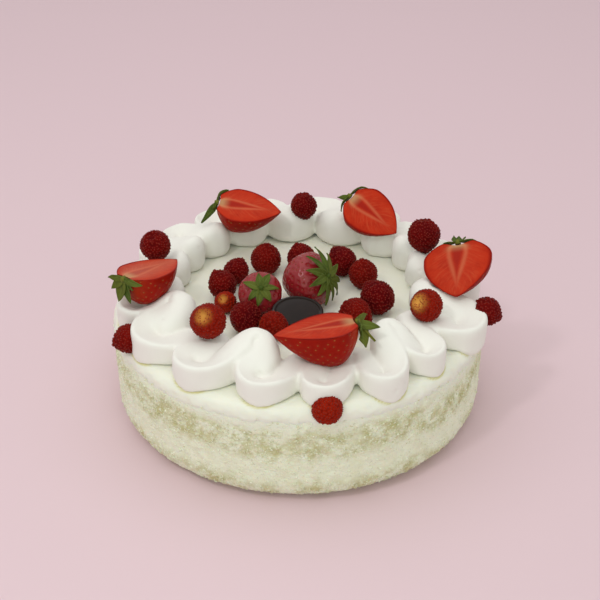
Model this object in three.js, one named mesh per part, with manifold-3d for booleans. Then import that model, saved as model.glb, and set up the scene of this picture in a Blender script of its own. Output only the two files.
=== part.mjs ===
// A round christening cake: a coconut-coated sponge, a smooth layer of cream, one ribbon of whipped
// cream piped in loops round the top edge, and strawberries, wild strawberries and a bare oval
// plaque of dark chocolate on top.
// Millimetres, +Z up, origin at the middle of the flat base; -Y is the front.

import * as THREE from 'three';
import { mergeVertices } from 'three/addons/utils/BufferGeometryUtils.js';
import Module from 'manifold-3d';

const wasm = await Module();
wasm.setup();

// ---------------------------------------------------------------- driving dimensions

const CAKE_RADIUS = 110;
const SPONGE_TOP = 56;
const PLATEAU = 64; // top of the smooth cream layer, which everything else stands on
const BASE_ROUND = 14; // radius of the rounded lower edge
const GAP = 0.3; // clearance between neighbouring pieces

const COAT_COLUMNS = 68;
const COAT_ROW_HEIGHT = 5.2;
const COAT_ROUGHNESS = 0.8; // how far the clumps of coconut stand in or out

const CREAM_RADIUS = 108.5;
const CREAM_EDGE = 3; // rounding of the cream layer's edge
const CREAM_COLUMNS = 44;

// The piped border is one ribbon that zigzags between an inner and an outer circle.
const INNER_TURN_RADIUS = 75.5;
const OUTER_TURN_RADIUS = 98.5;
const RIM_HEIGHT = 15; // height of the ribbon at its outer turns
const ROUND_TURNS = 0.75; // 0 gives pointed turns, towards 1 gives round turns and straight arms
const RIBBON_TO_PITCH = 0.285; // half the ribbon's width, to the distance between two inner turns
const RIBBON_HALF_MIN = 7.4;
const RIBBON_HALF_MAX = 10.4;
const RIBBON_STEPS = 4; // steps from one turn to the next
const STEPS_AT_TURNS = 0.4; // 0 spreads the steps evenly, more crowds them towards the turns
const SLIM_SHARE = 0.98; // every second stretch is slimmer by this, and ends inside its neighbours
const SLIM_REACH = 0.018; // how far it goes into them, in loops
const OUTER_DISH = 0.42; // how far the top falls from the outer rim towards the hollow of a loop
const INNER_DOME = 0.16;

// Inner turns, anticlockwise from the right: azimuth in degrees and height over the cream. For the
// outer turn that comes next, the reach is how far it goes beyond the outer circle, and the lean
// how many degrees it stands off the middle of its two inner turns.
const INNER_TURNS = [
  { azimuth: -33, height: 15, reach: 5.5, lean: -2.5 },
  { azimuth: -8, height: 18 },
  { azimuth: 15, height: 21 },
  { azimuth: 30, height: 22 },
  { azimuth: 46.5, height: 25 },
  { azimuth: 69.5, height: 23 },
  { azimuth: 94.5, height: 23 },
  { azimuth: 116, height: 21 },
  { azimuth: 134.5, height: 22 },
  { azimuth: 150.5, height: 22 },
  { azimuth: 165, height: 21 },
  { azimuth: 184, height: 17 },
  { azimuth: 205, height: 24, lean: -3.5 },
  { azimuth: 230, height: 14, lean: -5.5 },
  { azimuth: 253, height: 26, lean: -5 },
  { azimuth: 274, height: 12, reach: 2.5, lean: -5 },
  { azimuth: 292, height: 11, reach: 4, lean: -3.5 },
  { azimuth: 310, height: 23, reach: 2.5, lean: -3.5 },
];

// The ribbon's section: across (+1 is its outward side) and up, as shares of half width and height.
const RIBBON_SECTION = [
  [0.92, 0],
  [1, 0.62],
  [0.66, 1],
  [-0.66, 1],
  [-1, 0.62],
  [-0.92, 0],
];
const SECTION_MIDDLE = [0, 0.4];

const STRAWBERRY_SIDES = 18;
const STRAWBERRY_ROWS = 9;
const STRAWBERRY_WIDEST = 0.3; // where it is widest, from the leaves towards the tip
const WILD_SIDES = 10;
const WILD_ROWS = 6;
const WILD_WIDEST = 0.4;
const WILD_LENGTH_TO_WIDTH = 1.1;
const SEED_RELIEF = 0.035; // share of the radius by which a wild strawberry's skin goes in and out

const SHOULDER_START = 0.42; // radius of the flat round the stalk, as a share of the largest
const SEPAL_THICKNESS = 0.9;
const CALYX_CLEARANCE = 1.1; // from the fruit to the middle of its leaves
const SEPAL_LIFT = 1.6; // how far the leaves' tips stand off the fruit
const HALF_LEAF_FLATNESS = 0.8; // leaves under a half are pressed towards its cut face

// Halved strawberries: middle of the cut face, direction of the tip, direction the cut face looks.
const HALVES = [
  {
    name: 'back_left', at: [-30.5, 57, 95.7], tip: [0.985, -0.12, -0.12], face: [0, -0.28, 0.96],
    length: 40, width: 29, depth: 19.5, sepals: 7, leaf: 15, droop: 0.5,
  },
  {
    name: 'back_right', at: [46.6, 54, 91.8], tip: [0.74, -0.5, -0.42], face: [0.1, -0.55, 0.82],
    length: 37.5, width: 31.5, depth: 14, sepals: 8, leaf: 13, droop: 0.2,
  },
  {
    name: 'left', at: [-84, -17.5, 95.5], tip: [0.68, 0.72, -0.12], face: [0, 0.17, 0.98],
    length: 39, width: 31, depth: 19.5, sepals: 8, leaf: 19, droop: 0.4,
  },
  {
    name: 'right', at: [91.5, -10, 90.5], tip: [-0.08, -0.84, -0.5], face: [-0.38, -0.32, 0.87],
    length: 37, width: 41, depth: 16, sepals: 8, leaf: 15, droop: 0.2,
  },
  {
    name: 'front', at: [8.5, -76, 93.2], tip: [-0.97, -0.2, -0.08], face: [0, 0.18, 1],
    length: 45, width: 33, depth: 23.5, sepals: 8, leaf: 19, droop: 0.3,
  },
];

// Whole strawberries, lying on the cream in the middle.
const WHOLES = [
  { name: 'large', at: [3.4, -2.5], tip: [-0.83, 0.38, -0.41], length: 31, width: 32, sepals: 9, leaf: 18.5, droop: 0.25 },
  { name: 'small', at: [-22.5, -13.2], tip: [-0.08, 0.64, -0.77], length: 25, width: 25.5, sepals: 7, leaf: 10.5, droop: 0.9 },
];

// Wild strawberries: place (without a height they lie on the cream), width, and direction of the tip.
const WILD = [
  { at: [-84.6, 12.8, 92], width: 18, tip: [0.2, 0.3, -0.9] },
  { at: [-95.8, -50.2, 68.5], width: 16.5, tip: [-0.95, -0.3, -0.2] },
  { at: [-48.7, -59.3, 86], width: 19.5, tip: [0.3, 0.75, -0.6] },
  { at: [-42.4, -13.5], width: 12.6, tip: [0.2, -0.6, 0.7] },
  { at: [-45.8, 2.3], width: 16.8, tip: [-0.5, 0.3, 0.8] },
  { at: [-37.4, 19.5], width: 15, tip: [0.4, 0.5, 0.7] },
  { at: [-20.1, 30.8], width: 18.6, tip: [0.1, 0, 1] },
  { at: [-30, -35.4], width: 18, tip: [0.1, -0.75, -0.6] },
  { at: [-13.3, -41.3], width: 15.8, tip: [0.9, -0.2, -0.1] },
  { at: [3.4, 72.2, 87.5], width: 16.4, tip: [0.15, -0.1, -1] },
  { at: [26, 29.2], width: 17.6, tip: [-0.5, 0.3, 0.7] },
  { at: [38.8, 14.1], width: 17.2, tip: [-0.1, 0.1, 1] },
  { at: [45.3, -13.6], width: 19.6, tip: [-0.5, 0.5, 0.5] },
  { at: [33.3, -31.4], width: 18, tip: [0.8, -0.4, -0.2] },
  { at: [75.5, 25, 92], width: 19.5, tip: [0.1, -0.3, -0.9] },
  { at: [72.2, -40.5, 84.5], width: 18, tip: [0.6, 0.3, -0.7] },
  { at: [14.9, -107, 64.5], width: 16, tip: [0, 0.8, -0.6] },
  { at: [108.5, -28.5, 72.5], width: 16.5, tip: [0.9, -0.1, -0.4] },
  { at: [1.5, 32.1], width: 17.6, tip: [-0.3, 0.2, 0.9] },
];

const PLAQUE = {
  at: [-0.4, -27.6, 72.6],
  face: [0.12, -0.7, 0.7],
  width: 30,
  height: 18,
  rim: 1.2, // width of the raised rim
  raised: 0.7,
  thickness: 2.4,
};
const PLAQUE_SIDES = 28;

// ---------------------------------------------------------------- materials

const paint = (color, roughness) => new THREE.MeshStandardMaterial({ color, roughness, metalness: 0 });

const COCONUT = paint(0xe9e3d2, 0.95);
const CREAM = paint(0xf1efe8, 0.5);
const STRAWBERRY_SKIN = paint(0x8e0d12, 0.3);
const WILD_SKIN = paint(0x7c0b12, 0.45);
const LEAF_GREEN = paint(0x4d7238, 0.6);
const DARK_CHOCOLATE = paint(0x1d1413, 0.25);

// ---------------------------------------------------------------- helpers

const radians = THREE.MathUtils.degToRad;
const mix = THREE.MathUtils.lerp;

/** A repeatable stream of random numbers between 0 and 1. */
function randomStream(seed) {
  let state = seed;
  return () => {
    state = (state * 1664525 + 1013904223) % 4294967296;
    return state / 4294967296;
  };
}

/** Moves every vertex of a geometry to the place that the function gives for it. */
function moveVertices(geometry, place) {
  const positions = geometry.attributes.position;
  const vertex = new THREE.Vector3();
  for (let i = 0; i < positions.count; i += 1) {
    vertex.fromBufferAttribute(positions, i);
    place(vertex);
    positions.setXYZ(i, vertex.x, vertex.y, vertex.z);
  }
  return geometry;
}

/** Six times the signed volume inside a triangle mesh: negative when its faces point inwards. */
function signedVolume(positions, index) {
  const [a, b, c] = [new THREE.Vector3(), new THREE.Vector3(), new THREE.Vector3()];
  let total = 0;
  for (let i = 0; i < index.length; i += 3) {
    a.fromBufferAttribute(positions, index[i]);
    b.fromBufferAttribute(positions, index[i + 1]);
    c.fromBufferAttribute(positions, index[i + 2]);
    total += a.dot(b.cross(c));
  }
  return total;
}

/** Joins coinciding vertices, drops collapsed triangles and turns the faces outwards. */
function weld(geometry) {
  geometry.deleteAttribute('normal');
  geometry.deleteAttribute('uv');
  const joined = mergeVertices(geometry);
  const kept = [];
  const source = joined.index.array;
  for (let i = 0; i < source.length; i += 3) {
    const corners = [source[i], source[i + 1], source[i + 2]];
    if (new Set(corners).size === 3) kept.push(...corners);
  }
  if (signedVolume(joined.attributes.position, kept) < 0) kept.reverse();
  joined.setIndex(kept);
  return joined;
}

/** A solid of revolution about Z from radius and height pairs that start and end on the axis. */
function turned(profile, sides) {
  const points = profile.map(([radius, height]) => new THREE.Vector2(radius, height));
  return weld(new THREE.LatheGeometry(points, sides).rotateX(Math.PI / 2));
}

function toSolid(geometry) {
  return new wasm.Manifold(new wasm.Mesh({
    numProp: 3,
    vertProperties: new Float32Array(geometry.attributes.position.array),
    triVerts: new Uint32Array(geometry.index.array),
  }));
}

function toGeometry(solid) {
  const { vertProperties, triVerts } = solid.getMesh();
  const geometry = new THREE.BufferGeometry();
  geometry.setAttribute('position', new THREE.BufferAttribute(vertProperties, 3));
  geometry.setIndex(new THREE.BufferAttribute(triVerts, 1));
  return geometry;
}

/** The largest body of a solid, without the scraps that cutting leaves. */
function largestBody(solid) {
  const bodies = solid.decompose();
  return bodies.reduce((best, body) => (body.volume() > best.volume() ? body : best));
}

/** A placement whose +Z points to the tip and whose +Y is as near as it can be to the face. */
function placement(at, tip, face = [0, 0, 1]) {
  const forward = new THREE.Vector3(...tip).normalize();
  const side = new THREE.Vector3(...face).cross(forward).normalize();
  const up = forward.clone().cross(side);
  const matrix = new THREE.Matrix4().makeBasis(side, up, forward);
  return matrix.setPosition(at[0], at[1], at[2] ?? 0);
}

/** The same solid, grown by the gap on every side, at its place: what its neighbours leave free. */
function clearance(geometry, matrix) {
  const grown = geometry.clone();
  grown.computeBoundingBox();
  const middle = grown.boundingBox.getCenter(new THREE.Vector3());
  const size = grown.boundingBox.getSize(new THREE.Vector3());
  const growth = size.clone().addScalar(2 * GAP).divide(size);
  moveVertices(grown, (vertex) => vertex.sub(middle).multiply(growth).add(middle));
  return toSolid(grown.applyMatrix4(matrix));
}

// ---------------------------------------------------------------- cake and cream layer

/** The coated sponge: flat base, rounded lower edge, and a wall rough with clumps of coconut. */
function coatedSponge() {
  const profile = [[0, 0], [CAKE_RADIUS - BASE_ROUND, 0]];
  const arcSteps = 4;
  for (let step = 1; step <= arcSteps; step += 1) {
    const angle = (step / arcSteps) * (Math.PI / 2);
    profile.push([
      CAKE_RADIUS - BASE_ROUND * (1 - Math.sin(angle)),
      BASE_ROUND * (1 - Math.cos(angle)),
    ]);
  }
  const rows = Math.round((SPONGE_TOP - BASE_ROUND) / COAT_ROW_HEIGHT);
  for (let row = 1; row <= rows; row += 1) {
    profile.push([CAKE_RADIUS, mix(BASE_ROUND, SPONGE_TOP, row / rows)]);
  }
  profile.push([0, SPONGE_TOP]);
  const random = randomStream(7);
  return moveVertices(turned(profile, COAT_COLUMNS), (vertex) => {
    const draw = random() - 0.6;
    const radius = Math.hypot(vertex.x, vertex.y);
    const onWall = vertex.z > 1 && radius > 1 && vertex.z < SPONGE_TOP - 1;
    if (!onWall) return;
    const grown = 1 + (2 * COAT_ROUGHNESS * draw) / radius;
    vertex.x *= grown;
    vertex.y *= grown;
  });
}

/** The layer of cream on the sponge, smoothed by hand, so its edge wanders a little. */
function creamLayer() {
  const bottom = SPONGE_TOP + GAP;
  const profile = [
    [0, bottom],
    [CREAM_RADIUS, bottom],
    [CREAM_RADIUS + 0.6, bottom + CREAM_EDGE],
    [CREAM_RADIUS - 0.4, PLATEAU - CREAM_EDGE * 0.5],
    [CREAM_RADIUS - CREAM_EDGE, PLATEAU],
    [0, PLATEAU],
  ];
  return moveVertices(turned(profile, CREAM_COLUMNS), (vertex) => {
    const azimuth = Math.atan2(vertex.y, vertex.x);
    const wander = 1 + 0.004 * Math.sin(5 * azimuth) + 0.003 * Math.sin(11 * azimuth + 1);
    vertex.x *= wander;
    vertex.y *= wander;
  });
}

// ---------------------------------------------------------------- piped border

/** The ribbon's numbers at a place along it, counted in loops: whole numbers are inner turns. */
function alongRibbon(place) {
  const count = INNER_TURNS.length;
  const loop = Math.floor(place);
  const here = INNER_TURNS[((loop % count) + count) % count];
  const next = INNER_TURNS[(((loop + 1) % count) + count) % count];
  const pitch = THREE.MathUtils.euclideanModulo(next.azimuth - here.azimuth, 360);
  const share = (place - loop) * 2; // 0 and 2 at the inner turns, 1 at the outer turn
  const swing = share + (ROUND_TURNS * Math.sin(2 * Math.PI * share)) / (2 * Math.PI);
  const nearness = 1 - Math.abs(share - 1); // 1 at the outer turn
  const leaning = nearness - Math.sin(2 * Math.PI * nearness) / (2 * Math.PI);
  const azimuth = radians(here.azimuth + (pitch * swing) / 2 + (here.lean ?? 0) * leaning);
  const outward = (1 - Math.cos(Math.PI * share)) / 2;
  const radius = mix(INNER_TURN_RADIUS, OUTER_TURN_RADIUS + (here.reach ?? 0), outward);
  const turnHeight = share < 1 ? here.height : next.height;
  const middleRadius = (INNER_TURN_RADIUS + OUTER_TURN_RADIUS) / 2;
  return {
    x: radius * Math.cos(azimuth),
    y: radius * Math.sin(azimuth),
    outward,
    height: mix(turnHeight, RIM_HEIGHT, outward),
    half: THREE.MathUtils.clamp(
      radians(pitch) * middleRadius * RIBBON_TO_PITCH, RIBBON_HALF_MIN, RIBBON_HALF_MAX,
    ),
  };
}

/** Signed curvature of the ribbon's middle line and its direction, from three places close by. */
function ribbonBend(place) {
  const step = 0.01;
  const before = alongRibbon(place - step);
  const here = alongRibbon(place);
  const after = alongRibbon(place + step);
  const speed = [(after.x - before.x) / (2 * step), (after.y - before.y) / (2 * step)];
  const change = [
    (after.x - 2 * here.x + before.x) / step ** 2,
    (after.y - 2 * here.y + before.y) / step ** 2,
  ];
  const length = Math.hypot(...speed);
  const curvature = (speed[0] * change[1] - speed[1] * change[0]) / length ** 3;
  return { here, direction: [speed[0] / length, speed[1] / length], curvature };
}

/** A point of the ribbon: across and up are shares of its half width and its height. */
function ribbonPoint(place, across, up) {
  const { here, direction, curvature } = ribbonBend(place);
  const insideOfBend = across * curvature < 0;
  const room = 0.82 / Math.max(Math.abs(curvature), 1e-6);
  const reach = insideOfBend ? Math.min(here.half, room) : here.half;
  const distance = across * reach;
  const dish = OUTER_DISH * here.outward * (1 - across) * 0.5;
  const dome = INNER_DOME * (1 - here.outward) * across ** 2;
  return [
    here.x + direction[1] * distance,
    here.y - direction[0] * distance,
    PLATEAU + GAP + here.height * up * (1 - dish - dome),
  ];
}

/** The stretch of ribbon between one turn and the next, counted from the first inner turn. */
function ribbonStretch(number) {
  const sides = RIBBON_SECTION.length;
  const slim = number % 2 === 1;
  const size = slim ? SLIM_SHARE : 1;
  const length = 0.5 + (slim ? 2 * SLIM_REACH : 0);
  const tube = new THREE.CylinderGeometry(1, 1, 1, sides, RIBBON_STEPS);
  moveVertices(tube, (vertex) => {
    const crowding = (STEPS_AT_TURNS * Math.sin(2 * Math.PI * vertex.y)) / (2 * Math.PI);
    const place = number / 2 + 0.25 + (vertex.y + crowding) * length;
    const side = Math.round((Math.atan2(vertex.x, vertex.z) / (2 * Math.PI)) * sides);
    const onAxis = Math.hypot(vertex.x, vertex.z) < 0.5;
    const [across, up] = onAxis ? SECTION_MIDDLE : RIBBON_SECTION[(side + sides) % sides];
    vertex.set(...ribbonPoint(place, across * size, up * size));
  });
  return toSolid(weld(tube));
}

function pipedBorder(pockets) {
  const stretches = INNER_TURNS.flatMap((_, loop) => [ribbonStretch(2 * loop), ribbonStretch(2 * loop + 1)]);
  const ribbon = wasm.Manifold.union(stretches);
  return toGeometry(largestBody(ribbon.subtract(wasm.Manifold.union(pockets))));
}

// ---------------------------------------------------------------- fruit, leaves and plaque

/** Radius of a fruit as a share of its largest, from 0 at the leaves to 1 at the tip. */
function fruitRadius(share, widest) {
  if (share < widest) {
    const rise = Math.sin((Math.PI / 2) * (share / widest)) ** 0.85;
    return mix(SHOULDER_START, 1, rise);
  }
  const towardsTip = (share - widest) / (1 - widest);
  return Math.cos((Math.PI / 2) * towardsTip ** 1.3) ** 0.9;
}

/** A whole fruit along Z, the tip up and its middle at the origin, with a dimple at the leaves. */
function wholeFruit({ length, width, depth = width / 2 }, widest, sides, rows) {
  const profile = [[0, -length / 2 + length * 0.05]];
  for (let row = 0; row < rows; row += 1) {
    const share = (row / rows) ** 0.9;
    profile.push([(fruitRadius(share, widest) * width) / 2, length * (share - 0.5)]);
  }
  profile.push([0, length / 2]);
  return turned(profile, sides).scale(1, (2 * depth) / width, 1);
}

function wildStrawberry({ width }) {
  const shape = { width, length: width * WILD_LENGTH_TO_WIDTH };
  const random = randomStream(Math.round(width * 100));
  return moveVertices(wholeFruit(shape, WILD_WIDEST, WILD_SIDES, WILD_ROWS), (vertex) => {
    const relief = 1 + SEED_RELIEF * (2 * random() - 1);
    vertex.x *= relief;
    vertex.y *= relief;
  });
}

/** Keeps the side of a solid that lies below the plane Y = 0. */
function belowCut(geometry) {
  const big = 200;
  const blade = new THREE.BoxGeometry(big, big, big).translate(0, big / 2, 0);
  return toGeometry(toSolid(geometry).subtract(toSolid(weld(blade))));
}

/** How far a strawberry's shoulder has fallen away at a share of its largest radius. */
function shoulderFall(share) {
  if (share <= SHOULDER_START) return 0;
  const rise = Math.min((share - SHOULDER_START) / (1 - SHOULDER_START), 1) ** (1 / 0.85);
  return (Math.asin(rise) * 2 * STRAWBERRY_WIDEST) / Math.PI;
}

/** A rosette of thin leaves over the fruit's shoulder, along Z like its fruit. */
function calyx({ length, width, depth = width / 2, sepals, leaf, droop }) {
  const rings = [0.28, 0.62, 1];
  const top = rings.map((ring) => [ring, 0]);
  const profile = [[0, 0], ...top, ...top.map(([ring]) => [ring, -1]).reverse(), [0, -1]];
  const crown = turned(profile, sepals * 2);
  const flatness = 2 * depth < width ? HALF_LEAF_FLATNESS : 1;
  return moveVertices(crown, (vertex) => {
    const ring = Math.hypot(vertex.x, vertex.y);
    const azimuth = Math.atan2(vertex.y, vertex.x);
    const sepal = 0.5 - 0.5 * Math.cos(sepals * azimuth);
    const radius = ring * leaf * mix(0.36, 1, sepal ** 1.5);
    const fall = droop * length * shoulderFall(radius / (width / 2));
    const lifted = SEPAL_LIFT * ring * (1 + 0.4 * Math.sin(3 * azimuth + 1));
    vertex.x = radius * Math.cos(azimuth);
    vertex.y = radius * Math.sin(azimuth) * flatness;
    vertex.z = fall - lifted - CALYX_CLEARANCE - length / 2 - (vertex.z > -0.5 ? 0 : SEPAL_THICKNESS);
  });
}

/** The oval plaque: a thin disc with a raised rim and a bare face, along Y. */
function plaque({ width, height, rim, raised, thickness }) {
  const edge = 1 - (2 * rim) / height;
  const profile = [
    [0, 0],
    [edge - 0.06, 0],
    [edge, raised],
    [0.97, raised],
    [1, 0],
    [1, -thickness],
    [0, -thickness],
  ];
  return turned(profile, PLAQUE_SIDES).scale(width / 2, height / 2, 1);
}

// ---------------------------------------------------------------- assembly

const cake = new THREE.Group();
const placed = []; // everything that leaves its mark in the cream

function addPiece(name, geometry, material, matrix = new THREE.Matrix4()) {
  const mesh = new THREE.Mesh(geometry, material);
  mesh.name = name;
  mesh.applyMatrix4(matrix);
  cake.add(mesh);
}

function addFruit(name, geometry, material, matrix) {
  addPiece(name, geometry, material, matrix);
  placed.push(clearance(geometry, matrix));
}

/** Lowers or lifts a placement until the piece just clears the cream. */
function layOnCream(geometry, matrix) {
  const turnedPiece = geometry.clone().applyMatrix4(matrix);
  turnedPiece.computeBoundingBox();
  const lift = PLATEAU + GAP - turnedPiece.boundingBox.min.z;
  return matrix.clone().premultiply(new THREE.Matrix4().makeTranslation(0, 0, lift));
}

for (const half of HALVES) {
  const matrix = placement(half.at, half.tip, half.face);
  const fruit = wholeFruit(half, STRAWBERRY_WIDEST, STRAWBERRY_SIDES, STRAWBERRY_ROWS);
  addFruit(`half_strawberry_${half.name}`, belowCut(fruit), STRAWBERRY_SKIN, matrix);
  addPiece(`calyx_${half.name}`, belowCut(calyx(half)), LEAF_GREEN, matrix);
}

for (const whole of WHOLES) {
  const fruit = wholeFruit(whole, STRAWBERRY_WIDEST, STRAWBERRY_SIDES, STRAWBERRY_ROWS);
  const matrix = layOnCream(fruit, placement(whole.at, whole.tip));
  addFruit(`strawberry_${whole.name}`, fruit, STRAWBERRY_SKIN, matrix);
  addPiece(`calyx_${whole.name}`, calyx(whole), LEAF_GREEN, matrix);
}

WILD.forEach((berry, number) => {
  const fruit = wildStrawberry(berry);
  const free = placement(berry.at, berry.tip);
  const matrix = berry.at.length === 3 ? free : layOnCream(fruit, free);
  const name = `wild_strawberry_${String(number + 1).padStart(2, '0')}`;
  addFruit(name, fruit, WILD_SKIN, matrix);
});

const plaqueUp = new THREE.Vector3(...PLAQUE.face).cross(new THREE.Vector3(1, 0, 0));
addFruit('chocolate_plaque', plaque(PLAQUE), DARK_CHOCOLATE,
  placement(PLAQUE.at, PLAQUE.face, plaqueUp.toArray()));

const layer = toSolid(creamLayer()).subtract(wasm.Manifold.union(placed));
addPiece('coated_sponge', coatedSponge(), COCONUT);
addPiece('cream_layer', toGeometry(largestBody(layer)), CREAM);
addPiece('cream_border', pipedBorder(placed), CREAM);

export default cake;
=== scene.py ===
import math

import bmesh
import bpy
import numpy as np
from mathutils import Matrix, Vector, noise
from mathutils.kdtree import KDTree


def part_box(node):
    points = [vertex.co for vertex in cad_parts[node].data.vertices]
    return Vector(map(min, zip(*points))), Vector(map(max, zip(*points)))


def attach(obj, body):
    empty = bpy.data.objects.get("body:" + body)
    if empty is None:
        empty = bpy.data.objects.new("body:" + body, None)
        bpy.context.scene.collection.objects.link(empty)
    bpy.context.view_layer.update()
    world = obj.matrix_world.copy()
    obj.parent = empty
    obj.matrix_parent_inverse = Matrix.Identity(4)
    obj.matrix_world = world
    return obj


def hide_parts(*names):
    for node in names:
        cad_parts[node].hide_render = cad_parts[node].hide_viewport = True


bl_info = {
    "name": "Christening cake",
    "version": (1, 0, 0),
    "blender": (4, 5, 0),
    "location": "View3D > Sidebar > Cake",
    "description": "Finishes a coconut-coated cake with piped cream, strawberries and a plaque",
    "category": "Object",
}

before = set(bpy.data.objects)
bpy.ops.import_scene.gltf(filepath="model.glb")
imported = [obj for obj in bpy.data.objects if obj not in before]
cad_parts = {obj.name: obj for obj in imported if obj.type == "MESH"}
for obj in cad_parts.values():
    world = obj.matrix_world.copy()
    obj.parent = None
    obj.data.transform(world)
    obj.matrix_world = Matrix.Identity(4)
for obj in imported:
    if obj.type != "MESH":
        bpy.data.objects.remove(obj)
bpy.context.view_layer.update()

MM = 0.001

# ---------------------------------------------------------------- the cake's own dimensions, in mm

CAKE_RADIUS = 110.0
SPONGE_TOP = 56.0
PLATEAU = 64.0
BASE_ROUND = 14.0
SKIRT_START = 53.0  # height from which smooth cream covers the wall

INNER_TURN_RADIUS = 75.5
OUTER_TURN_RADIUS = 98.5
RIM_HEIGHT = 15.0
ROUND_TURNS = 0.75
RIBBON_TO_PITCH = 0.285
RIBBON_HALF_MIN = 7.4
RIBBON_HALF_MAX = 10.4
OUTER_DISH = 0.5
INNER_DOME = 0.16

# Inner turns of the ribbon: azimuth in degrees and height, and for the outer turn after it how far
# it goes beyond the outer circle and how many degrees it leans.
INNER_TURNS = [
    (-33, 15, 5.5, -2.5), (-8, 18, 0, 0), (15, 21, 0, 0), (30, 22, 0, 0), (46.5, 25, 0, 0),
    (69.5, 23, 0, 0), (94.5, 23, 0, 0), (116, 21, 0, 0), (134.5, 22, 0, 0), (150.5, 22, 0, 0),
    (165, 21, 0, 0), (184, 17, 0, 0), (205, 24, 0, -3.5), (230, 14, 0, -5.5), (253, 26, 0, -5),
    (274, 12, 2.5, -5), (292, 11, 4, -3.5), (310, 23, 2.5, -3.5),
]

SHOULDER_START = 0.42  # radius of the flat round the stalk, as a share of the largest
STRAWBERRY_WIDEST = 0.3
WILD_WIDEST = 0.4
WILD_LENGTH_TO_WIDTH = 1.1
CALYX_CLEARANCE = 0.8  # from the fruit to the middle of its leaves
LEAF_THICKNESS = 0.45

# Columns and rows of a fruit's mesh, half sizes of its seeds, and how uneven its outline is.
HALF_GRID, WHOLE_GRID, WILD_GRID = (144, 88), (160, 96), (112, 70)
HALF_SEED, WHOLE_SEED, WILD_SEED = (0.36, 0.58, 0.28), (0.36, 0.56, 0.28), (0.34, 0.46, 0.36)
HALF_LUMPS, WHOLE_LUMPS, WILD_LUMPS = 0.014, 0.016, 0.03

# Where the random draws of each kind of piece start.
FLAKE_DRAWS, CRUMB_DRAWS, BUBBLE_DRAWS = 21, 22, 31
HALF_DRAWS, HALF_LEAF_DRAWS = 40, 60
WHOLE_DRAWS, WHOLE_LEAF_DRAWS, WILD_DRAWS = 80, 90, 100

# Halved strawberries: middle of the cut face, direction of the tip, and where the cut face looks;
# how blunt the tip is, how pale the flesh (partly its own paleness and partly painted sheen), how deep the
# notch at the stalk.
# Each leaf has an azimuth round the stalk, a length, half its width, how many degrees it bends round
# the fruit's shoulder (or stands off it, where that is negative), and how far it is rolled.
# A bare stalk has an azimuth, a length and how far it flares from the fruit's axis.
HALVES = {
    "back_left": dict(at=(-30.5, 57, 95.7), tip=(0.985, -0.12, -0.12), face=(0, -0.28, 0.96),
                      length=40, width=29, depth=19.5, blunt=1.15, pale=0.1, notch=1.0,
                      leaves=[(226, 16, 2.3, -30, 75), (350, 14, 2.8, 90, 0), (322, 10, 2.4, 60, 0),
                              (285, 9, 2.2, 10, 0), (200, 6, 1.6, -20, 40)]),
    "back_right": dict(at=(46.6, 54, 91.8), tip=(0.74, -0.5, -0.42), face=(0.1, -0.55, 0.82),
                       length=37.5, width=31.5, depth=14, blunt=1.25, pale=0.05, notch=1.0,
                       leaves=[(190, 7.5, 1.7, -52, 60), (352, 14, 2.0, 90, 0), (332, 10, 2.2, 80, 0),
                               (205, 11, 2.2, 85, 0), (262, 8, 2.0, 10, 0)]),
    "left": dict(at=(-84, -17.5, 95.5), tip=(0.68, 0.72, -0.12), face=(0, 0.17, 0.98),
                 length=39, width=31, depth=19.5, blunt=1.3, pale=0.8, notch=1.0,
                 leaves=[(350, 9.5, 2.5, -22, 0), (318, 11, 2.8, -12, 0), (284, 15, 4.0, -4, 0),
                         (254, 14.5, 3.2, 4, 0), (222, 9, 2.2, 20, 0), (192, 13, 2.1, 60, -20)]),
    "right": dict(at=(91.5, -10, 90.5), tip=(-0.08, -0.84, -0.5), face=(-0.38, -0.32, 0.87),
                  length=37, width=41, depth=16, blunt=1.2, pale=0.1, notch=2.6,
                  leaves=[(222, 7.5, 2.4, -70, 0), (262, 9, 2.4, -62, 0), (310, 7.5, 2.2, -56, 0),
                          (192, 14, 1.7, 90, 0), (348, 14, 1.7, 90, 0)]),
    "front": dict(at=(8.5, -76, 93.2), tip=(-0.97, -0.2, -0.08), face=(0, 0.18, 1),
                  length=45, width=33, depth=23.5, blunt=1.0, pale=0.08, notch=1.0,
                  leaves=[(296, 14.5, 4.4, -6, 62), (352, 10, 3.0, 60, 0), (318, 11, 2.8, 30, 0),
                          (300, 13, 2.6, -72, 78), (188, 11, 2.7, -46, 0), (222, 9, 2.4, 5, 0)],
                  stalk=(296, 14, 1.6)),
}

# Whole strawberries, lying on the cream in the middle: place, direction of the tip, how ripe; the
# number of leaves, their length, half width as a share of it, and how far they bend down.
WHOLES = {
    "large": dict(at=(3.4, -2.5), tip=(-0.83, 0.38, -0.41), length=31, width=32, ripe=1.0,
                  sepals=11, leaf=18.5, slim=0.125, droop=0.3),
    "small": dict(at=(-22.5, -13.2), tip=(-0.08, 0.64, -0.77), length=25, width=25.5, ripe=0.55,
                  sepals=7, leaf=10.5, slim=0.2, droop=0.62),
}

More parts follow.
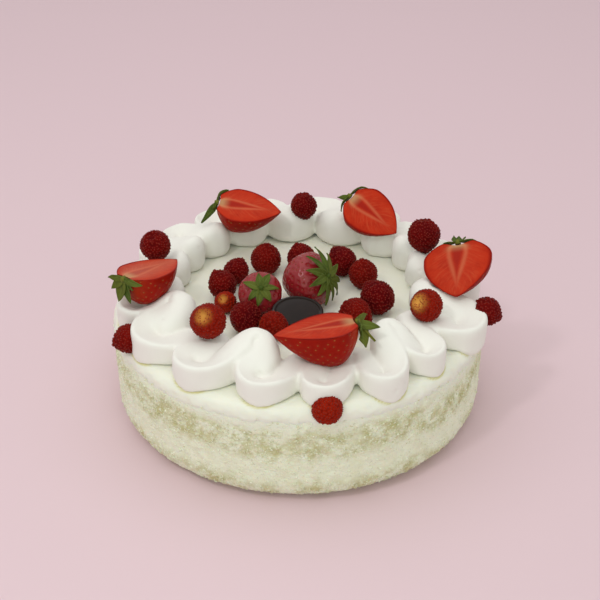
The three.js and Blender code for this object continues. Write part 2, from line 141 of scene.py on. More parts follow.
# Wild strawberries: place, width, direction of the tip, how ripe each one is, and how far the pale
# skin round its stalk spreads.
WILD = [
    ((-84.6, 12.8, 92), 18, (0.2, 0.3, -0.9), 0.9, 0),
    ((-95.8, -50.2, 68.5), 16.5, (-0.95, -0.3, -0.2), 0.8, 0),
    ((-48.7, -59.3, 86), 19.5, (0.25, 0.62, -0.75), 0.45, 0.75),
    ((-42.4, -13.5), 12.6, (0.2, 0.6, -0.7), 0.15, 0.7),
    ((-45.8, 2.3), 16.8, (-0.5, 0.3, 0.8), 0.9, 0),
    ((-37.4, 19.5), 15, (0.4, 0.5, 0.7), 0.95, 0),
    ((-20.1, 30.8), 18.6, (0.1, 0, 1), 0.8, 0),
    ((-30, -35.4), 18, (0.1, -0.75, -0.6), 1.0, 0),
    ((-13.3, -41.3), 15.8, (0.9, -0.2, -0.1), 0.6, 0.5),
    ((3.4, 72.2, 87.5), 16.4, (0.15, -0.1, -1), 0.95, 0),
    ((26, 29.2), 17.6, (-0.5, 0.3, 0.7), 1.0, 0),
    ((38.8, 14.1), 17.2, (-0.1, 0.1, 1), 0.75, 0),
    ((45.3, -13.6), 19.6, (-0.5, 0.5, 0.5), 1.0, 0),
    ((33.3, -31.4), 18, (0.8, -0.4, -0.2), 0.75, 0),
    ((75.5, 25, 92), 19.5, (0.1, -0.3, -0.9), 0.95, 0.05),
    ((72.2, -40.5, 84.5), 18, (0.66, 0.5, -0.56), 0.45, 1.0),
    ((14.9, -107, 64.5), 16, (0, 0.45, 0.8), 0.3, 0.45),
    ((108.5, -28.5, 72.5), 16.5, (0.9, -0.1, -0.4), 0.9, 0),
    ((1.5, 32.1), 17.6, (-0.3, 0.2, 0.9), 0.9, 0),
]

PLAQUE = dict(at=(-0.4, -27.6, 72.6), face=(0.12, -0.7, 0.7), width=30, height=18,
              rim=1.2, raised=0.7, thickness=2.4)

GOLDEN_ANGLE = 2.399963

# The room, in metres. Each light has a place, a size, a power and a colour.
FLOOR_HALF_WIDTH = 3.0
LIGHTS = {
    "key": ((-0.12, 0.1, 1.25), 1.6, 5.3, (1.0, 1.0, 0.97)),
    "fill": ((0.1, -1.1, 0.5), 1.0, 2.2, (0.62, 0.92, 0.72)),
    "window": ((-0.35, -0.45, 0.8), 0.09, 1.1, (1.0, 1.0, 1.0)),
}
LIGHTS_AIM = (0, 0, 0.05)
ROOM_COLOUR, ROOM_STRENGTH = (1.0, 0.99, 0.98, 1.0), 0.63
CAMERA_PLACE = (0.00084, -0.5930, 0.4349)
CAMERA_DOWN = 32.1  # degrees
SENSOR_WIDTH = 36.0  # mm
FOCAL_SHARE = 1171.6 / 600  # focal length as a share of the picture's width


# ---------------------------------------------------------------- sizes and colours

def _colour(name, description, value):
    return bpy.props.FloatVectorProperty(
        name=name, description=description, default=(*value, 1.0), size=4, subtype="COLOR",
        min=0.0, max=1.0,
    )


def _length(name, description, value):
    return bpy.props.FloatProperty(
        name=name, description=description, default=value, min=0.0, unit="LENGTH",
    )


class CakeSizes(bpy.types.PropertyGroup):
    """Sizes of the cake's finish"""

    cream_voxel: _length("Cream detail", "Size of the smallest form kept in the piped cream", 0.92 * MM)
    coat_relief: _length("Coat relief", "Depth of the clumps in the coconut coat", 0.9 * MM)
    flake_length: _length("Flake length", "Length of a flake of coconut", 2.4 * MM)
    flake_count: bpy.props.IntProperty(
        name="Flakes", description="How many flakes of coconut cling to the wall", default=9800, min=0,
    )
    grain_count: bpy.props.IntProperty(
        name="Grains", description="How many small crumbs of coconut cling to the wall", default=9800, min=0,
    )
    seed_gap: _length("Seed gap", "Distance between the seeds of a strawberry", 4.0 * MM)
    wild_seed_gap: _length("Wild seed gap", "Distance between the seeds of a wild strawberry", 1.65 * MM)


class CakeColours(bpy.types.PropertyGroup):
    """Colours of the cake's finish"""

    cream: _colour("Cream", "Whipped cream in the light", (0.86, 0.86, 0.75))
    # Painted shade: yellowish colour given to the cream in its folds and round the ribbon's foot.
    cream_painted_shade: _colour("Painted shade in cream folds", "Painted shade of whipped cream in its folds", (0.66, 0.61, 0.24))
    coconut: _colour("Coconut", "Fresh coconut on the wall", (0.90, 0.91, 0.70))
    toasted: _colour("Toasted coconut", "Coconut where the coat is thin", (0.60, 0.57, 0.30))
    skin: _colour("Strawberry", "Skin of the strawberries", (0.24, 0.006, 0.004))
    flesh: _colour("Flesh", "Cut flesh of the strawberries", (0.50, 0.032, 0.011))
    wild: _colour("Wild strawberry", "Skin of the ripe wild strawberries", (0.15, 0.005, 0.005))
    leaf: _colour("Leaf", "Leaves of the strawberries", (0.050, 0.080, 0.009))
    chocolate: _colour("Chocolate", "Dark chocolate of the plaque", (0.016, 0.009, 0.008))
    floor: _colour("Floor", "Floor and backdrop", (0.76, 0.575, 0.62))


# ---------------------------------------------------------------- small tools

def mix(low, high, share):
    return low + (high - low) * share


def clamp(value, low=0.0, high=1.0):
    return np.clip(value, low, high)


def smooth(low, high, value):
    """0 below low, 1 above high, and an even slope between."""
    share = clamp((value - low) / (high - low))
    return share * share * (3 - 2 * share)


def spun(profile, steps):
    """A solid of revolution about Z through radius and height pairs that start and end on the axis."""
    bm = bmesh.new()
    corners = [bm.verts.new((radius * MM, 0, height * MM)) for radius, height in profile]
    for low, high in zip(corners, corners[1:]):
        bm.edges.new((low, high))
    bmesh.ops.spin(bm, geom=bm.verts[:] + bm.edges[:], cent=(0, 0, 0), axis=(0, 0, 1),
                   angle=2 * math.pi, steps=steps, use_merge=True)
    bmesh.ops.remove_doubles(bm, verts=bm.verts, dist=0.01 * MM)
    bmesh.ops.recalc_face_normals(bm, faces=bm.faces)
    return bm


def ball(columns, rows):
    bm = bmesh.new()
    bmesh.ops.create_uvsphere(bm, u_segments=columns, v_segments=rows, radius=1.0)
    return bm


def mesh_from(bm, name):
    mesh = bpy.data.meshes.new(name)
    bm.to_mesh(mesh)
    bm.free()
    mesh.shade_smooth()
    return mesh


def points_of(mesh):
    """Every vertex of a mesh, in mm."""
    flat = np.empty(len(mesh.vertices) * 3)
    mesh.vertices.foreach_get("co", flat)
    return flat.reshape(-1, 3) / MM


def move_points(mesh, points):
    mesh.vertices.foreach_set("co", (points * MM).ravel())
    mesh.update()


def normals_of(mesh):
    flat = np.empty(len(mesh.vertices) * 3)
    mesh.vertices.foreach_get("normal", flat)
    return flat.reshape(-1, 3)


def attribute(mesh, name, values):
    """Stores a number or a triple at every vertex, for the materials to read."""
    values = np.asarray(values, dtype=float)
    kind, field = ("FLOAT", "value") if values.ndim == 1 else ("FLOAT_VECTOR", "vector")
    mesh.attributes.new(name, kind, "POINT").data.foreach_set(field, values.ravel())


def roughness_at(points, size, octaves=3, seed=0.0):
    """Even noise between about -1 and 1 at every point; size is that of its lumps, in mm."""
    shift = Vector((seed * 13.7, seed * 5.1, seed * 9.3))
    return np.array([
        noise.fractal(Vector(point) / size + shift, 0.8, 2.0, octaves) for point in points
    ])


def add_piece(name, mesh, materials, nodes=()):
    """Puts a finished mesh in the scene, on the cake's body, in place of its nodes."""
    piece = bpy.data.objects.new(name, mesh)
    bpy.context.scene.collection.objects.link(piece)
    for material in materials:
        mesh.materials.append(material)
    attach(piece, "root")
    if nodes:
        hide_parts(*nodes)
    return piece


def scattered(shape, places, axes, scales):
    """Copies of a small shape as one mesh: each has a place, three axes as columns, and a scale."""
    shape.verts.ensure_lookup_table()
    corners = np.array([corner.co for corner in shape.verts])
    faces = np.array([[corner.index for corner in face.verts] for face in shape.faces])
    shape.free()
    count = len(places)
    grown = corners[None, :, :] * scales[:, None, :]
    points = np.einsum("nij,nkj->nki", axes, grown) + places[:, None, :]
    index = faces[None, :, :] + (np.arange(count) * len(corners))[:, None, None]
    mesh = bpy.data.meshes.new("scattered")
    mesh.from_pydata((points.reshape(-1, 3) * MM).tolist(), [], index.reshape(-1, faces.shape[1]).tolist())
    mesh.shade_smooth()
    return mesh, len(corners)


def small_ball():
    bm = bmesh.new()
    bmesh.ops.create_icosphere(bm, subdivisions=1, radius=1.0)
    return bm


def placement(at, tip, face=(0, 0, 1)):
    """Axes and place of a fruit: +Z to its tip, +Y as near as it can be to the given direction."""
    forward = np.array(tip, float) / np.linalg.norm(tip)
    side = np.cross(np.array(face, float), forward)
    side /= np.linalg.norm(side)
    up = np.cross(forward, side)
    place = np.array([at[0], at[1], at[2] if len(at) == 3 else 0.0])
    return np.column_stack([side, up, forward]), place


# ---------------------------------------------------------------- material tools

def node(tree, kind, sockets=None, **settings):
    """Adds a node; a socket is given a value, or another node's output to be linked to."""
    made = tree.nodes.new(kind)
    for key, value in settings.items():
        setattr(made, key, value)
    for socket, value in (sockets or {}).items():
        if isinstance(value, bpy.types.NodeSocket):
            tree.links.new(value, made.inputs[socket])
        else:
            made.inputs[socket].default_value = value
    return made


def blended(tree, factor, first, second):
    """The output of a colour Mix node."""
    made = node(tree, "ShaderNodeMix", {0: factor, 6: first, 7: second}, data_type="RGBA",
                clamp_factor=True)
    return made.outputs[2]


def maths(tree, operation, first, second=0.0):
    made = node(tree, "ShaderNodeMath", {0: first, 1: second}, operation=operation)
    return made.outputs[0]


def ranged(tree, value, low, high, to_low=0.0, to_high=1.0):
    made = node(tree, "ShaderNodeMapRange",
                {0: value, 1: low, 2: high, 3: to_low, 4: to_high}, interpolation_type="SMOOTHSTEP")
    return made.outputs[0]


def speckle(tree, vector, scale, detail=2.0, rough=0.55):
    made = node(tree, "ShaderNodeTexNoise",
                {"Vector": vector, "Scale": scale, "Detail": detail, "Roughness": rough})
    return made.outputs[0]


def new_material(name):
    """A material with a Principled BSDF, its node tree and its Object coordinates."""
    material = bpy.data.materials.new(name)
    material.use_nodes = True
    tree = material.node_tree
    shader = tree.nodes["Principled BSDF"]
    place = node(tree, "ShaderNodeTexCoord").outputs["Object"]
    return material, tree, shader, place


def read_number(tree, name):
    """A number that is stored at every vertex."""
    return node(tree, "ShaderNodeAttribute", attribute_name=name).outputs["Fac"]


def read_parts(tree, name):
    """The three numbers of a triple that is stored at every vertex."""
    stored = node(tree, "ShaderNodeAttribute", attribute_name=name).outputs["Vector"]
    return node(tree, "ShaderNodeSeparateXYZ", {0: stored}).outputs


def grained(tree, shader, height, distance, strength):
    """Feeds a height to a Bump node and on to the shader."""
    bump = node(tree, "ShaderNodeBump", {"Strength": strength, "Distance": distance, "Height": height})
    tree.links.new(bump.outputs[0], shader.inputs["Normal"])


def set_shader(shader, **values):
    for key, value in values.items():
        shader.inputs[key.replace("_", " ")].default_value = value


def shared_group(name, inputs, output, build):
    """A node group that is made once; build gets it and its inputs, and returns its result."""
    if name in bpy.data.node_groups:
        return bpy.data.node_groups[name]
    group = bpy.data.node_groups.new(name, "ShaderNodeTree")
    for in_out, sockets in (("INPUT", inputs), ("OUTPUT", {output[0]: output[1]})):
        for socket, kind in sockets.items():
            group.interface.new_socket(socket, in_out=in_out, socket_type=f"NodeSocket{kind}")
    result = build(group, group.nodes.new("NodeGroupInput").outputs)
    group.links.new(result, group.nodes.new("NodeGroupOutput").inputs[output[0]])
    return group


def mottle(group, given):
    """A colour that drifts towards a second one in soft patches."""
    patches = speckle(group, given["Vector"], given["Size"], 3.0, 0.6)
    share = maths(group, "MULTIPLY", ranged(group, patches, 0.38, 0.68), given["Amount"])
    return blended(group, share, given["Colour"], given["Second colour"])


def mottled(tree, place, size, amount, colour, second):
    inputs = {"Vector": "Vector", "Size": "Float", "Amount": "Float",
              "Colour": "Color", "Second colour": "Color"}
    group = shared_group("Soft mottle", inputs, ("Colour", "Color"), mottle)
    values = {"Vector": place, "Size": size, "Amount": amount, "Colour": colour, "Second colour": second}
    return node(tree, "ShaderNodeGroup", values, node_tree=group).outputs["Colour"]


def grain(group, given):
    """A height made of fine grain on top of broad unevenness."""
    broad = speckle(group, given["Vector"], given["Broad"], 2.0, 0.5)
    fine = speckle(group, given["Vector"], given["Fine"], 3.0, 0.6)
    return maths(group, "ADD", broad, maths(group, "MULTIPLY", fine, given["Share of fine"]))


def relief(tree, place, broad, fine, share):
    inputs = {"Vector": "Vector", "Broad": "Float", "Fine": "Float", "Share of fine": "Float"}
    group = shared_group("Fine relief", inputs, ("Height", "Float"), grain)
    values = {"Vector": place, "Broad": broad, "Fine": fine, "Share of fine": share}
    return node(tree, "ShaderNodeGroup", values, node_tree=group).outputs["Height"]


# ---------------------------------------------------------------- materials

def cream_finish(colours):
    """Whipped cream: near white, with a painted yellowish shade in its folds and round the ribbon's foot, and
    a soft sheen.
    """
    material, tree, shader, place = new_material("whipped_cream")
    painted_shade = read_number(tree, "painted_shade")
    base = mottled(tree, place, 38.0, 0.3, tuple(colours.cream), (0.83, 0.82, 0.68, 1.0))
    # Painted shade: where the stored shade share is high, the cream is tinted towards the yellowish shade
    # colour.
    tinted = blended(tree, ranged(tree, painted_shade, 0.08, 1.0, 0.0, 0.9), base, tuple(colours.cream_painted_shade))
    tree.links.new(tinted, shader.inputs["Base Color"])
    grained(tree, shader, relief(tree, place, 220.0, 900.0, 0.35), 0.0004, 0.35)
    set_shader(shader, Roughness=0.42, Subsurface_Weight=0.3, Subsurface_Scale=0.003, IOR=1.42)
    shader.inputs["Subsurface Radius"].default_value = (1.0, 0.85, 0.6)
    return material


def coat_finish(colours):
    """Coconut coat: ivory, beige where it is thin, smooth cream towards the top."""
    material, tree, shader, place = new_material("coconut_coat")
    bare, creamy = read_parts(tree, "coat")[:2]  # how coarse and beige, and how much smooth cream
    patches = speckle(tree, place, 120.0, 4.0, 0.65)
    fine = speckle(tree, place, 620.0, 3.0, 0.7)
    beige = maths(tree, "MULTIPLY", bare, ranged(tree, patches, 0.36, 0.62))
    ivory = blended(tree, ranged(tree, fine, 0.35, 0.7, 0.0, 0.5), tuple(colours.coconut),
                    (0.90, 0.93, 0.82, 1.0))
    coat = blended(tree, beige, ivory, tuple(colours.toasted))
    dotted = blended(tree, ranged(tree, fine, 0.6, 0.72, 0.0, 0.55), coat, (0.48, 0.46, 0.24, 1.0))
    whole = blended(tree, creamy, dotted, (0.86, 0.87, 0.72, 1.0))
    tree.links.new(whole, shader.inputs["Base Color"])
    height = relief(tree, place, 330.0, 1100.0, 0.8)
    grained(tree, shader, height, 0.0011, 0.7)
    set_shader(shader, Roughness=0.8, Specular_IOR_Level=0.25, Subsurface_Weight=0.12, Subsurface_Scale=0.002)
    return material


def flake_finish(colours):
    """Flakes and grains of coconut: each has its own tone between ivory and toasted."""
    material, tree, shader, place = new_material("coconut_flake")
    tone = read_number(tree, "tone")
    colour = blended(tree, tone, (0.88, 0.90, 0.71, 1.0), tuple(colours.toasted))
    tree.links.new(mottled(tree, place, 900.0, 0.3, colour, (0.92, 0.95, 0.86, 1.0)),
                   shader.inputs["Base Color"])
    grained(tree, shader, relief(tree, place, 900.0, 2600.0, 0.5), 0.0002, 0.4)
    set_shader(shader, Roughness=0.7, Specular_IOR_Level=0.3)
    return material


def skin_finish(colours):
    """Strawberry skin: deep red with a faint gloss, lighter round the stalk."""
    material, tree, shader, place = new_material("strawberry_skin")
    share, pit, ripe = read_parts(tree, "fruit")
    deep = mottled(tree, place, 70.0, 0.7, tuple(colours.skin), (0.11, 0.004, 0.004, 1.0))
    bright = blended(tree, ripe, (0.36, 0.012, 0.004, 1.0), deep)
    shoulder = ranged(tree, share, 0.2, 0.02, 0.0, 0.35)
    top = blended(tree, shoulder, bright, (0.45, 0.07, 0.020, 1.0))
    pitted = blended(tree, maths(tree, "MULTIPLY", pit, 0.3), top, (0.42, 0.05, 0.018, 1.0))
    tree.links.new(pitted, shader.inputs["Base Color"])
    grained(tree, shader, relief(tree, place, 260.0, 1400.0, 0.15), 0.0005, 0.35)
    set_shader(shader, Roughness=0.3, Specular_IOR_Level=0.02, Specular_Tint=(1.0, 0.12, 0.1, 1.0),
               Coat_Weight=0.07, Coat_Roughness=0.05)
    return material


def flesh_finish(colours):
    """Cut strawberry: orange-red, a pale V round the core, pale streaks out to a dark red rim."""
    material, tree, shader, place = new_material("strawberry_flesh")
    across, along = read_parts(tree, "slice")[:2]
    pale = read_number(tree, "pale")
    out = maths(tree, "ABSOLUTE", across)
    core = maths(tree, "MULTIPLY", maths(tree, "SUBTRACT", 0.84, along), 0.42)
    past = maths(tree, "SUBTRACT", out, core)
    line = maths(tree, "SUBTRACT", 1.0, ranged(tree, maths(tree, "ABSOLUTE", past), 0.0, 0.12))
    fan = maths(tree, "SUBTRACT", along, maths(tree, "MULTIPLY", out, 0.34))
    streak_place = node(tree, "ShaderNodeCombineXYZ", {0: maths(tree, "MULTIPLY", fan, 15.0),
                                                       1: maths(tree, "MULTIPLY", across, 1.3), 2: pale})
    streaks = speckle(tree, streak_place.outputs[0], 1.6, 2.0, 0.6)
    outer = maths(tree, "MULTIPLY", ranged(tree, past, 0.0, 0.12), ranged(tree, out, 0.92, 0.6))
    base = mottled(tree, place, 130.0, 0.6, tuple(colours.flesh), (0.38, 0.017, 0.007, 1.0))
    inner = ranged(tree, past, -0.02, -0.2)
    cored = blended(tree, maths(tree, "MULTIPLY", inner, 0.85), base, (0.33, 0.012, 0.008, 1.0))
    faint = maths(tree, "MULTIPLY", maths(tree, "MULTIPLY", outer, ranged(tree, streaks, 0.45, 0.72)), 0.5)
    streaked = blended(tree, faint, cored, (0.57, 0.08, 0.03, 1.0))
    lined = blended(tree, maths(tree, "MULTIPLY", line, ranged(tree, along, 0.98, 0.5, 0.0, 0.62)),
                    streaked, (0.58, 0.14, 0.065, 1.0))
    # Paler flesh by the stored pale share: partly the flesh's own paleness and partly painted sheen.
    pale_and_sheen = blended(tree, maths(tree, "MULTIPLY", pale, ranged(tree, out, 0.95, 0.3, 0.1, 0.42)),
                       lined, (0.60, 0.22, 0.14, 1.0))
    stalk = maths(tree, "MULTIPLY", ranged(tree, along, 0.22, 0.03), ranged(tree, out, 0.6, 0.15))
    topped = blended(tree, maths(tree, "MULTIPLY", stalk, 0.65), pale_and_sheen, (0.55, 0.36, 0.17, 1.0))
    rim = maths(tree, "MAXIMUM", ranged(tree, out, 0.87, 1.0), ranged(tree, along, 0.93, 1.0))
    rimmed = blended(tree, maths(tree, "MULTIPLY", rim, 0.85), topped, (0.20, 0.005, 0.005, 1.0))
    tree.links.new(rimmed, shader.inputs["Base Color"])
    height = maths(tree, "ADD", relief(tree, place, 420.0, 1800.0, 0.3),
                   maths(tree, "MULTIPLY", streaks, 0.6))
    grained(tree, shader, height, 0.0005, 0.4)
    set_shader(shader, Roughness=0.4, Specular_IOR_Level=0.03, Specular_Tint=(1.0, 0.25, 0.15, 1.0))
    return material


def wild_finish(colours):
    """Wild strawberry skin: dark crimson, brighter where less ripe, with painted shade in the valleys between
    its seeds, orange-yellow at the stalk.
    """
    material, tree, shader, place = new_material("wild_strawberry_skin")
    pale, hill, ripe = read_parts(tree, "fruit")
    deep = mottled(tree, place, 110.0, 0.8, tuple(colours.wild), (0.075, 0.003, 0.005, 1.0))
    body = blended(tree, ripe, (0.40, 0.020, 0.005, 1.0), deep)
    # Painted shade: the skin is darker in the valleys between the seed hills.
    shaded_valleys = blended(tree, ranged(tree, hill, 0.55, 0.1, 0.0, 0.5), body, (0.05, 0.002, 0.003, 1.0))
    patches = speckle(tree, place, 260.0, 3.0, 0.6)
    spread = maths(tree, "MULTIPLY", pale, ranged(tree, patches, 0.25, 0.6, 0.55, 1.0))
    paled = blended(tree, spread, shaded_valleys, (0.72, 0.34, 0.07, 1.0))
    tree.links.new(paled, shader.inputs["Base Color"])
    grained(tree, shader, relief(tree, place, 700.0, 2400.0, 0.4), 0.0004, 0.4)
    set_shader(shader, Roughness=0.4, Specular_IOR_Level=0.03, Specular_Tint=(1.0, 0.15, 0.12, 1.0))
    return material


def seed_finish(name, colour, second, roughness):
    material, tree, shader, place = new_material(name)
    usual = mottled(tree, place, 400.0, 0.7, colour, second)
    toned = blended(tree, read_number(tree, "tone"), usual, (0.45, 0.09, 0.015, 1.0))
    tree.links.new(toned, shader.inputs["Base Color"])
    grained(tree, shader, relief(tree, place, 2200.0, 5000.0, 0.4), 0.0001, 0.3)
    set_shader(shader, Roughness=roughness, Specular_IOR_Level=0.15)
    return material


def leaf_finish(colours):
    """Strawberry leaves: green, paler along the veins and at the edge, some of them yellower."""
    material, tree, shader, place = new_material("leaf_green")
    across, along, yellow = read_parts(tree, "leaf")
    out = maths(tree, "ABSOLUTE", across)
    base = mottled(tree, place, 160.0, 0.8, tuple(colours.leaf), (0.085, 0.13, 0.016, 1.0))
    toned = blended(tree, yellow, base, (0.17, 0.17, 0.022, 1.0))
    slant = maths(tree, "SUBTRACT", along, maths(tree, "MULTIPLY", out, 0.35))
    veins = maths(tree, "SINE", maths(tree, "MULTIPLY", slant, 46.0))
    veined = blended(tree, ranged(tree, veins, 0.75, 1.0, 0.0, 0.3), toned, (0.12, 0.16, 0.03, 1.0))
    ribbed = blended(tree, ranged(tree, out, 0.2, 0.02, 0.0, 0.5), veined, (0.14, 0.19, 0.04, 1.0))
    edged = blended(tree, ranged(tree, out, 0.8, 1.0, 0.0, 0.35), ribbed, (0.15, 0.20, 0.045, 1.0))
    tree.links.new(edged, shader.inputs["Base Color"])
    height = maths(tree, "ADD", relief(tree, place, 500.0, 2000.0, 0.4), maths(tree, "MULTIPLY", veins, 0.4))
    grained(tree, shader, height, 0.0004, 0.4)
    set_shader(shader, Roughness=0.5, Specular_IOR_Level=0.12)
    return material


def chocolate_finish(colours):
    """Dark chocolate with a faint polish."""
    material, tree, shader, place = new_material("dark_chocolate")
    tree.links.new(mottled(tree, place, 90.0, 0.5, tuple(colours.chocolate), (0.026, 0.015, 0.012, 1.0)),
                   shader.inputs["Base Color"])
    grained(tree, shader, relief(tree, place, 140.0, 1500.0, 0.08), 0.0003, 0.25)
    set_shader(shader, Roughness=0.34, Specular_IOR_Level=0.25, Coat_Weight=0.1, Coat_Roughness=0.12)
    return material


def floor_finish(colours):
    material, tree, shader, place = new_material("floor_paper")
    colour = tuple(colours.floor)
    darker = tuple(0.96 * part for part in colour[:3]) + (1.0,)
    tree.links.new(mottled(tree, place, 6.0, 0.05, colour, darker), shader.inputs["Base Color"])
    grained(tree, shader, relief(tree, place, 900.0, 2500.0, 0.5), 0.0001, 0.1)
    set_shader(shader, Roughness=0.8)
    return material


# ---------------------------------------------------------------- fruit forms

def fruit_radius(share, widest, blunt=1.3):
    """Radius as a share of the largest, from 0 at the leaves to 1 at the tip."""
    rise = np.sin(np.pi / 2 * clamp(share / widest)) ** 0.85
    towards_tip = clamp((share - widest) / (1 - widest))
    fall = np.maximum(np.cos(np.pi / 2 * towards_tip ** blunt), 0) ** 0.9
    return np.where(share < widest, mix(SHOULDER_START, 1, rise), fall)


class Fruit:
    """One strawberry: where its skin is for a turn from stalk to tip (0 to 1) and an azimuth."""

    FLAT = 0.07  # part of the turn that goes over the dimple at the stalk

    def __init__(self, at, tip, face, length, width, depth, widest, draws, lumps, blunt=1.3):
        self.axes, self.place = placement(at, tip, face)
        self.length, self.width, self.depth, self.widest = length, width, depth or width / 2, widest
        self.phases = np.random.default_rng(draws).uniform(0, 2 * np.pi, 4)
        self.lumps, self.blunt = lumps, blunt

    def local(self, turn, azimuth):
        """Place of the skin in the fruit's own axes."""
        over_dimple = turn < self.FLAT
        inward = turn / self.FLAT
        share = clamp((turn - self.FLAT) / (1 - self.FLAT))
        radius = np.where(over_dimple, SHOULDER_START * inward, fruit_radius(share, self.widest, self.blunt))
        height = np.where(over_dimple, -0.5 + 0.05 * (1 - inward ** 2), share - 0.5)
        a, b, c, d = self.phases
        uneven = (np.sin(2 * azimuth + a + 2 * share) + 0.8 * np.sin(3 * azimuth + b - 3 * share)
                  + 0.6 * np.sin(5 * azimuth + c + 7 * share) + 0.5 * np.sin(9 * share + d + azimuth)) / 2
        radius = radius * (1 + self.lumps * uneven)
        x = radius * np.cos(azimuth) * self.width / 2
        y = radius * np.sin(azimuth) * self.depth
        return np.stack([x, y, height * self.length], axis=-1)

    def world(self, local):
        return local @ self.axes.T + self.place

    def normal(self, turn, azimuth):
        """Outward direction of the skin, in the fruit's own axes."""
        step = 0.004
        along = self.local(turn + step, azimuth) - self.local(turn - step, azimuth)
        around = self.local(turn, azimuth + step) - self.local(turn, azimuth - step)
        normal = np.cross(around, along)
        return normal / np.maximum(np.linalg.norm(normal, axis=-1, keepdims=True), 1e-9)

    def seeds(self, gap, first=0.12, astray=0.12):
        """Turn and azimuth of the seeds: a spiral that covers the skin, each one a little astray."""
        turns = np.linspace(first, 0.985, 240)
        outline = self.local(turns, np.zeros_like(turns))
        reach = np.hypot(outline[:, 0], outline[:, 1])
        stride = np.linalg.norm(np.diff(outline, axis=0), axis=1)
        area = np.concatenate([[0], np.cumsum(np.pi * (reach[1:] + reach[:-1]) * stride)])
        count = int(area[-1] / (0.87 * gap ** 2))
        turn = np.interp((np.arange(count) + 0.5) / count * area[-1], area, turns)
        azimuth = (np.arange(count) * GOLDEN_ANGLE) % (2 * np.pi)
        chance = np.random.default_rng(count)
        shift = chance.normal(0, astray * gap, (2, count))
        reach_here = np.maximum(np.interp(turn, turns, reach), gap)
        turn = clamp(turn + shift[0] / self.length, first, 0.985)
        return turn, azimuth + shift[1] / reach_here


def turned_ball(columns, rows):
    """A ball's mesh with the turn (0 at the bottom pole, 1 at the top) and azimuth of each vertex."""
    mesh = mesh_from(ball(columns, rows), "fruit")
    unit = points_of(mesh) * MM
    turn = np.arccos(clamp(-unit[:, 2], -1, 1)) / np.pi
    azimuth = np.arctan2(unit[:, 1], unit[:, 0])
    return mesh, turn, azimuth


def pits(points, centres, radius):
    """1 in the middle of each pit, falling to 0 at its edge."""
    tree = KDTree(len(centres))
    for number, centre in enumerate(centres):
        tree.insert(centre, number)
    tree.balance()
    distance = np.array([tree.find(point)[2] for point in points])
    return np.exp(-((distance / radius) ** 2))


def settle(points, cad_node):
    """How far a fruit that lies on the cream is lifted, to stand where its solid stands."""
    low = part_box(cad_node)[0].z / MM
    return np.array([0, 0, low - 0.4 - points[:, 2].min()])


class Strewn:
    """Collects the seeds of many fruits, to make one mesh of them."""

    def __init__(self):
        self.places, self.axes, self.scales, self.tones = [], [], [], []

    def add(self, fruit, turn, azimuth, shift, size, sunk, tone=0.0):
        local = fruit.local(turn, azimuth)
        normal = fruit.normal(turn, azimuth)
        along = fruit.local(turn + 0.004, azimuth) - local
        along -= normal * np.sum(along * normal, axis=1, keepdims=True)
        along /= np.maximum(np.linalg.norm(along, axis=1, keepdims=True), 1e-9)
        across = np.cross(along, normal)
        axes = np.stack([across @ fruit.axes.T, along @ fruit.axes.T, normal @ fruit.axes.T], axis=-1)
        self.places.append(fruit.world(local - normal * sunk) + shift)
        self.axes.append(axes)
        self.scales.append(np.tile(np.array(size, float), (len(turn), 1)))
        self.tones.append(np.broadcast_to(tone, len(turn)))

    def mesh(self):
        mesh, corners = scattered(small_ball(), np.concatenate(self.places), np.concatenate(self.axes),
                                  np.concatenate(self.scales))
        attribute(mesh, "tone", np.repeat(np.concatenate(self.tones), corners))
        return mesh


def shoulder_fall(share):
    """How far a strawberry's shoulder has fallen away at a share of its largest radius."""
    rise = clamp((share - SHOULDER_START) / (1 - SHOULDER_START)) ** (1 / 0.85)
    return np.arcsin(rise) * 2 * STRAWBERRY_WIDEST / np.pi + 3 * np.maximum(share - 1, 0)


def leaf_width(along):
    """Half width of a leaf, as a share of its widest, from its foot to its tip."""
    return np.sin(np.pi * clamp(along) ** 0.8) ** 0.75 * (1 - 0.25 * along) + 0.28 * (1 - along) ** 2


def leaf_ring(spec, chance):
    """Leaves set evenly round a stalk: azimuth, length, half width, bend and roll of each."""
    count = spec["sepals"]
    return [
        ((number + 0.5) * 360 / count + chance.uniform(-8, 8), spec["leaf"] * chance.uniform(0.8, 1.04),
         spec["leaf"] * spec["slim"] * chance.uniform(0.85, 1.2),
         90 * spec["droop"] + chance.uniform(-16, 14), chance.uniform(-14, 14))
        for number in range(count)
    ]


def leaf_line(length, reach, bend, along):
    """Distance from the stalk, height and slope along a leaf that bends round the shoulder."""
    run = np.linspace(0, length, 40)
    bending = (run - 0.3 * reach) / (0.8 * reach) if bend > 0 else run / 3.0
    angle = np.radians(bend) * clamp(bending)
    stride = length / (len(run) - 1)
    out = np.cumsum(np.cos(angle)) * stride
    up = np.cumsum(np.sin(angle)) * stride
    return [np.interp(along * length, run, line) for line in (out + 0.4, up, angle)]


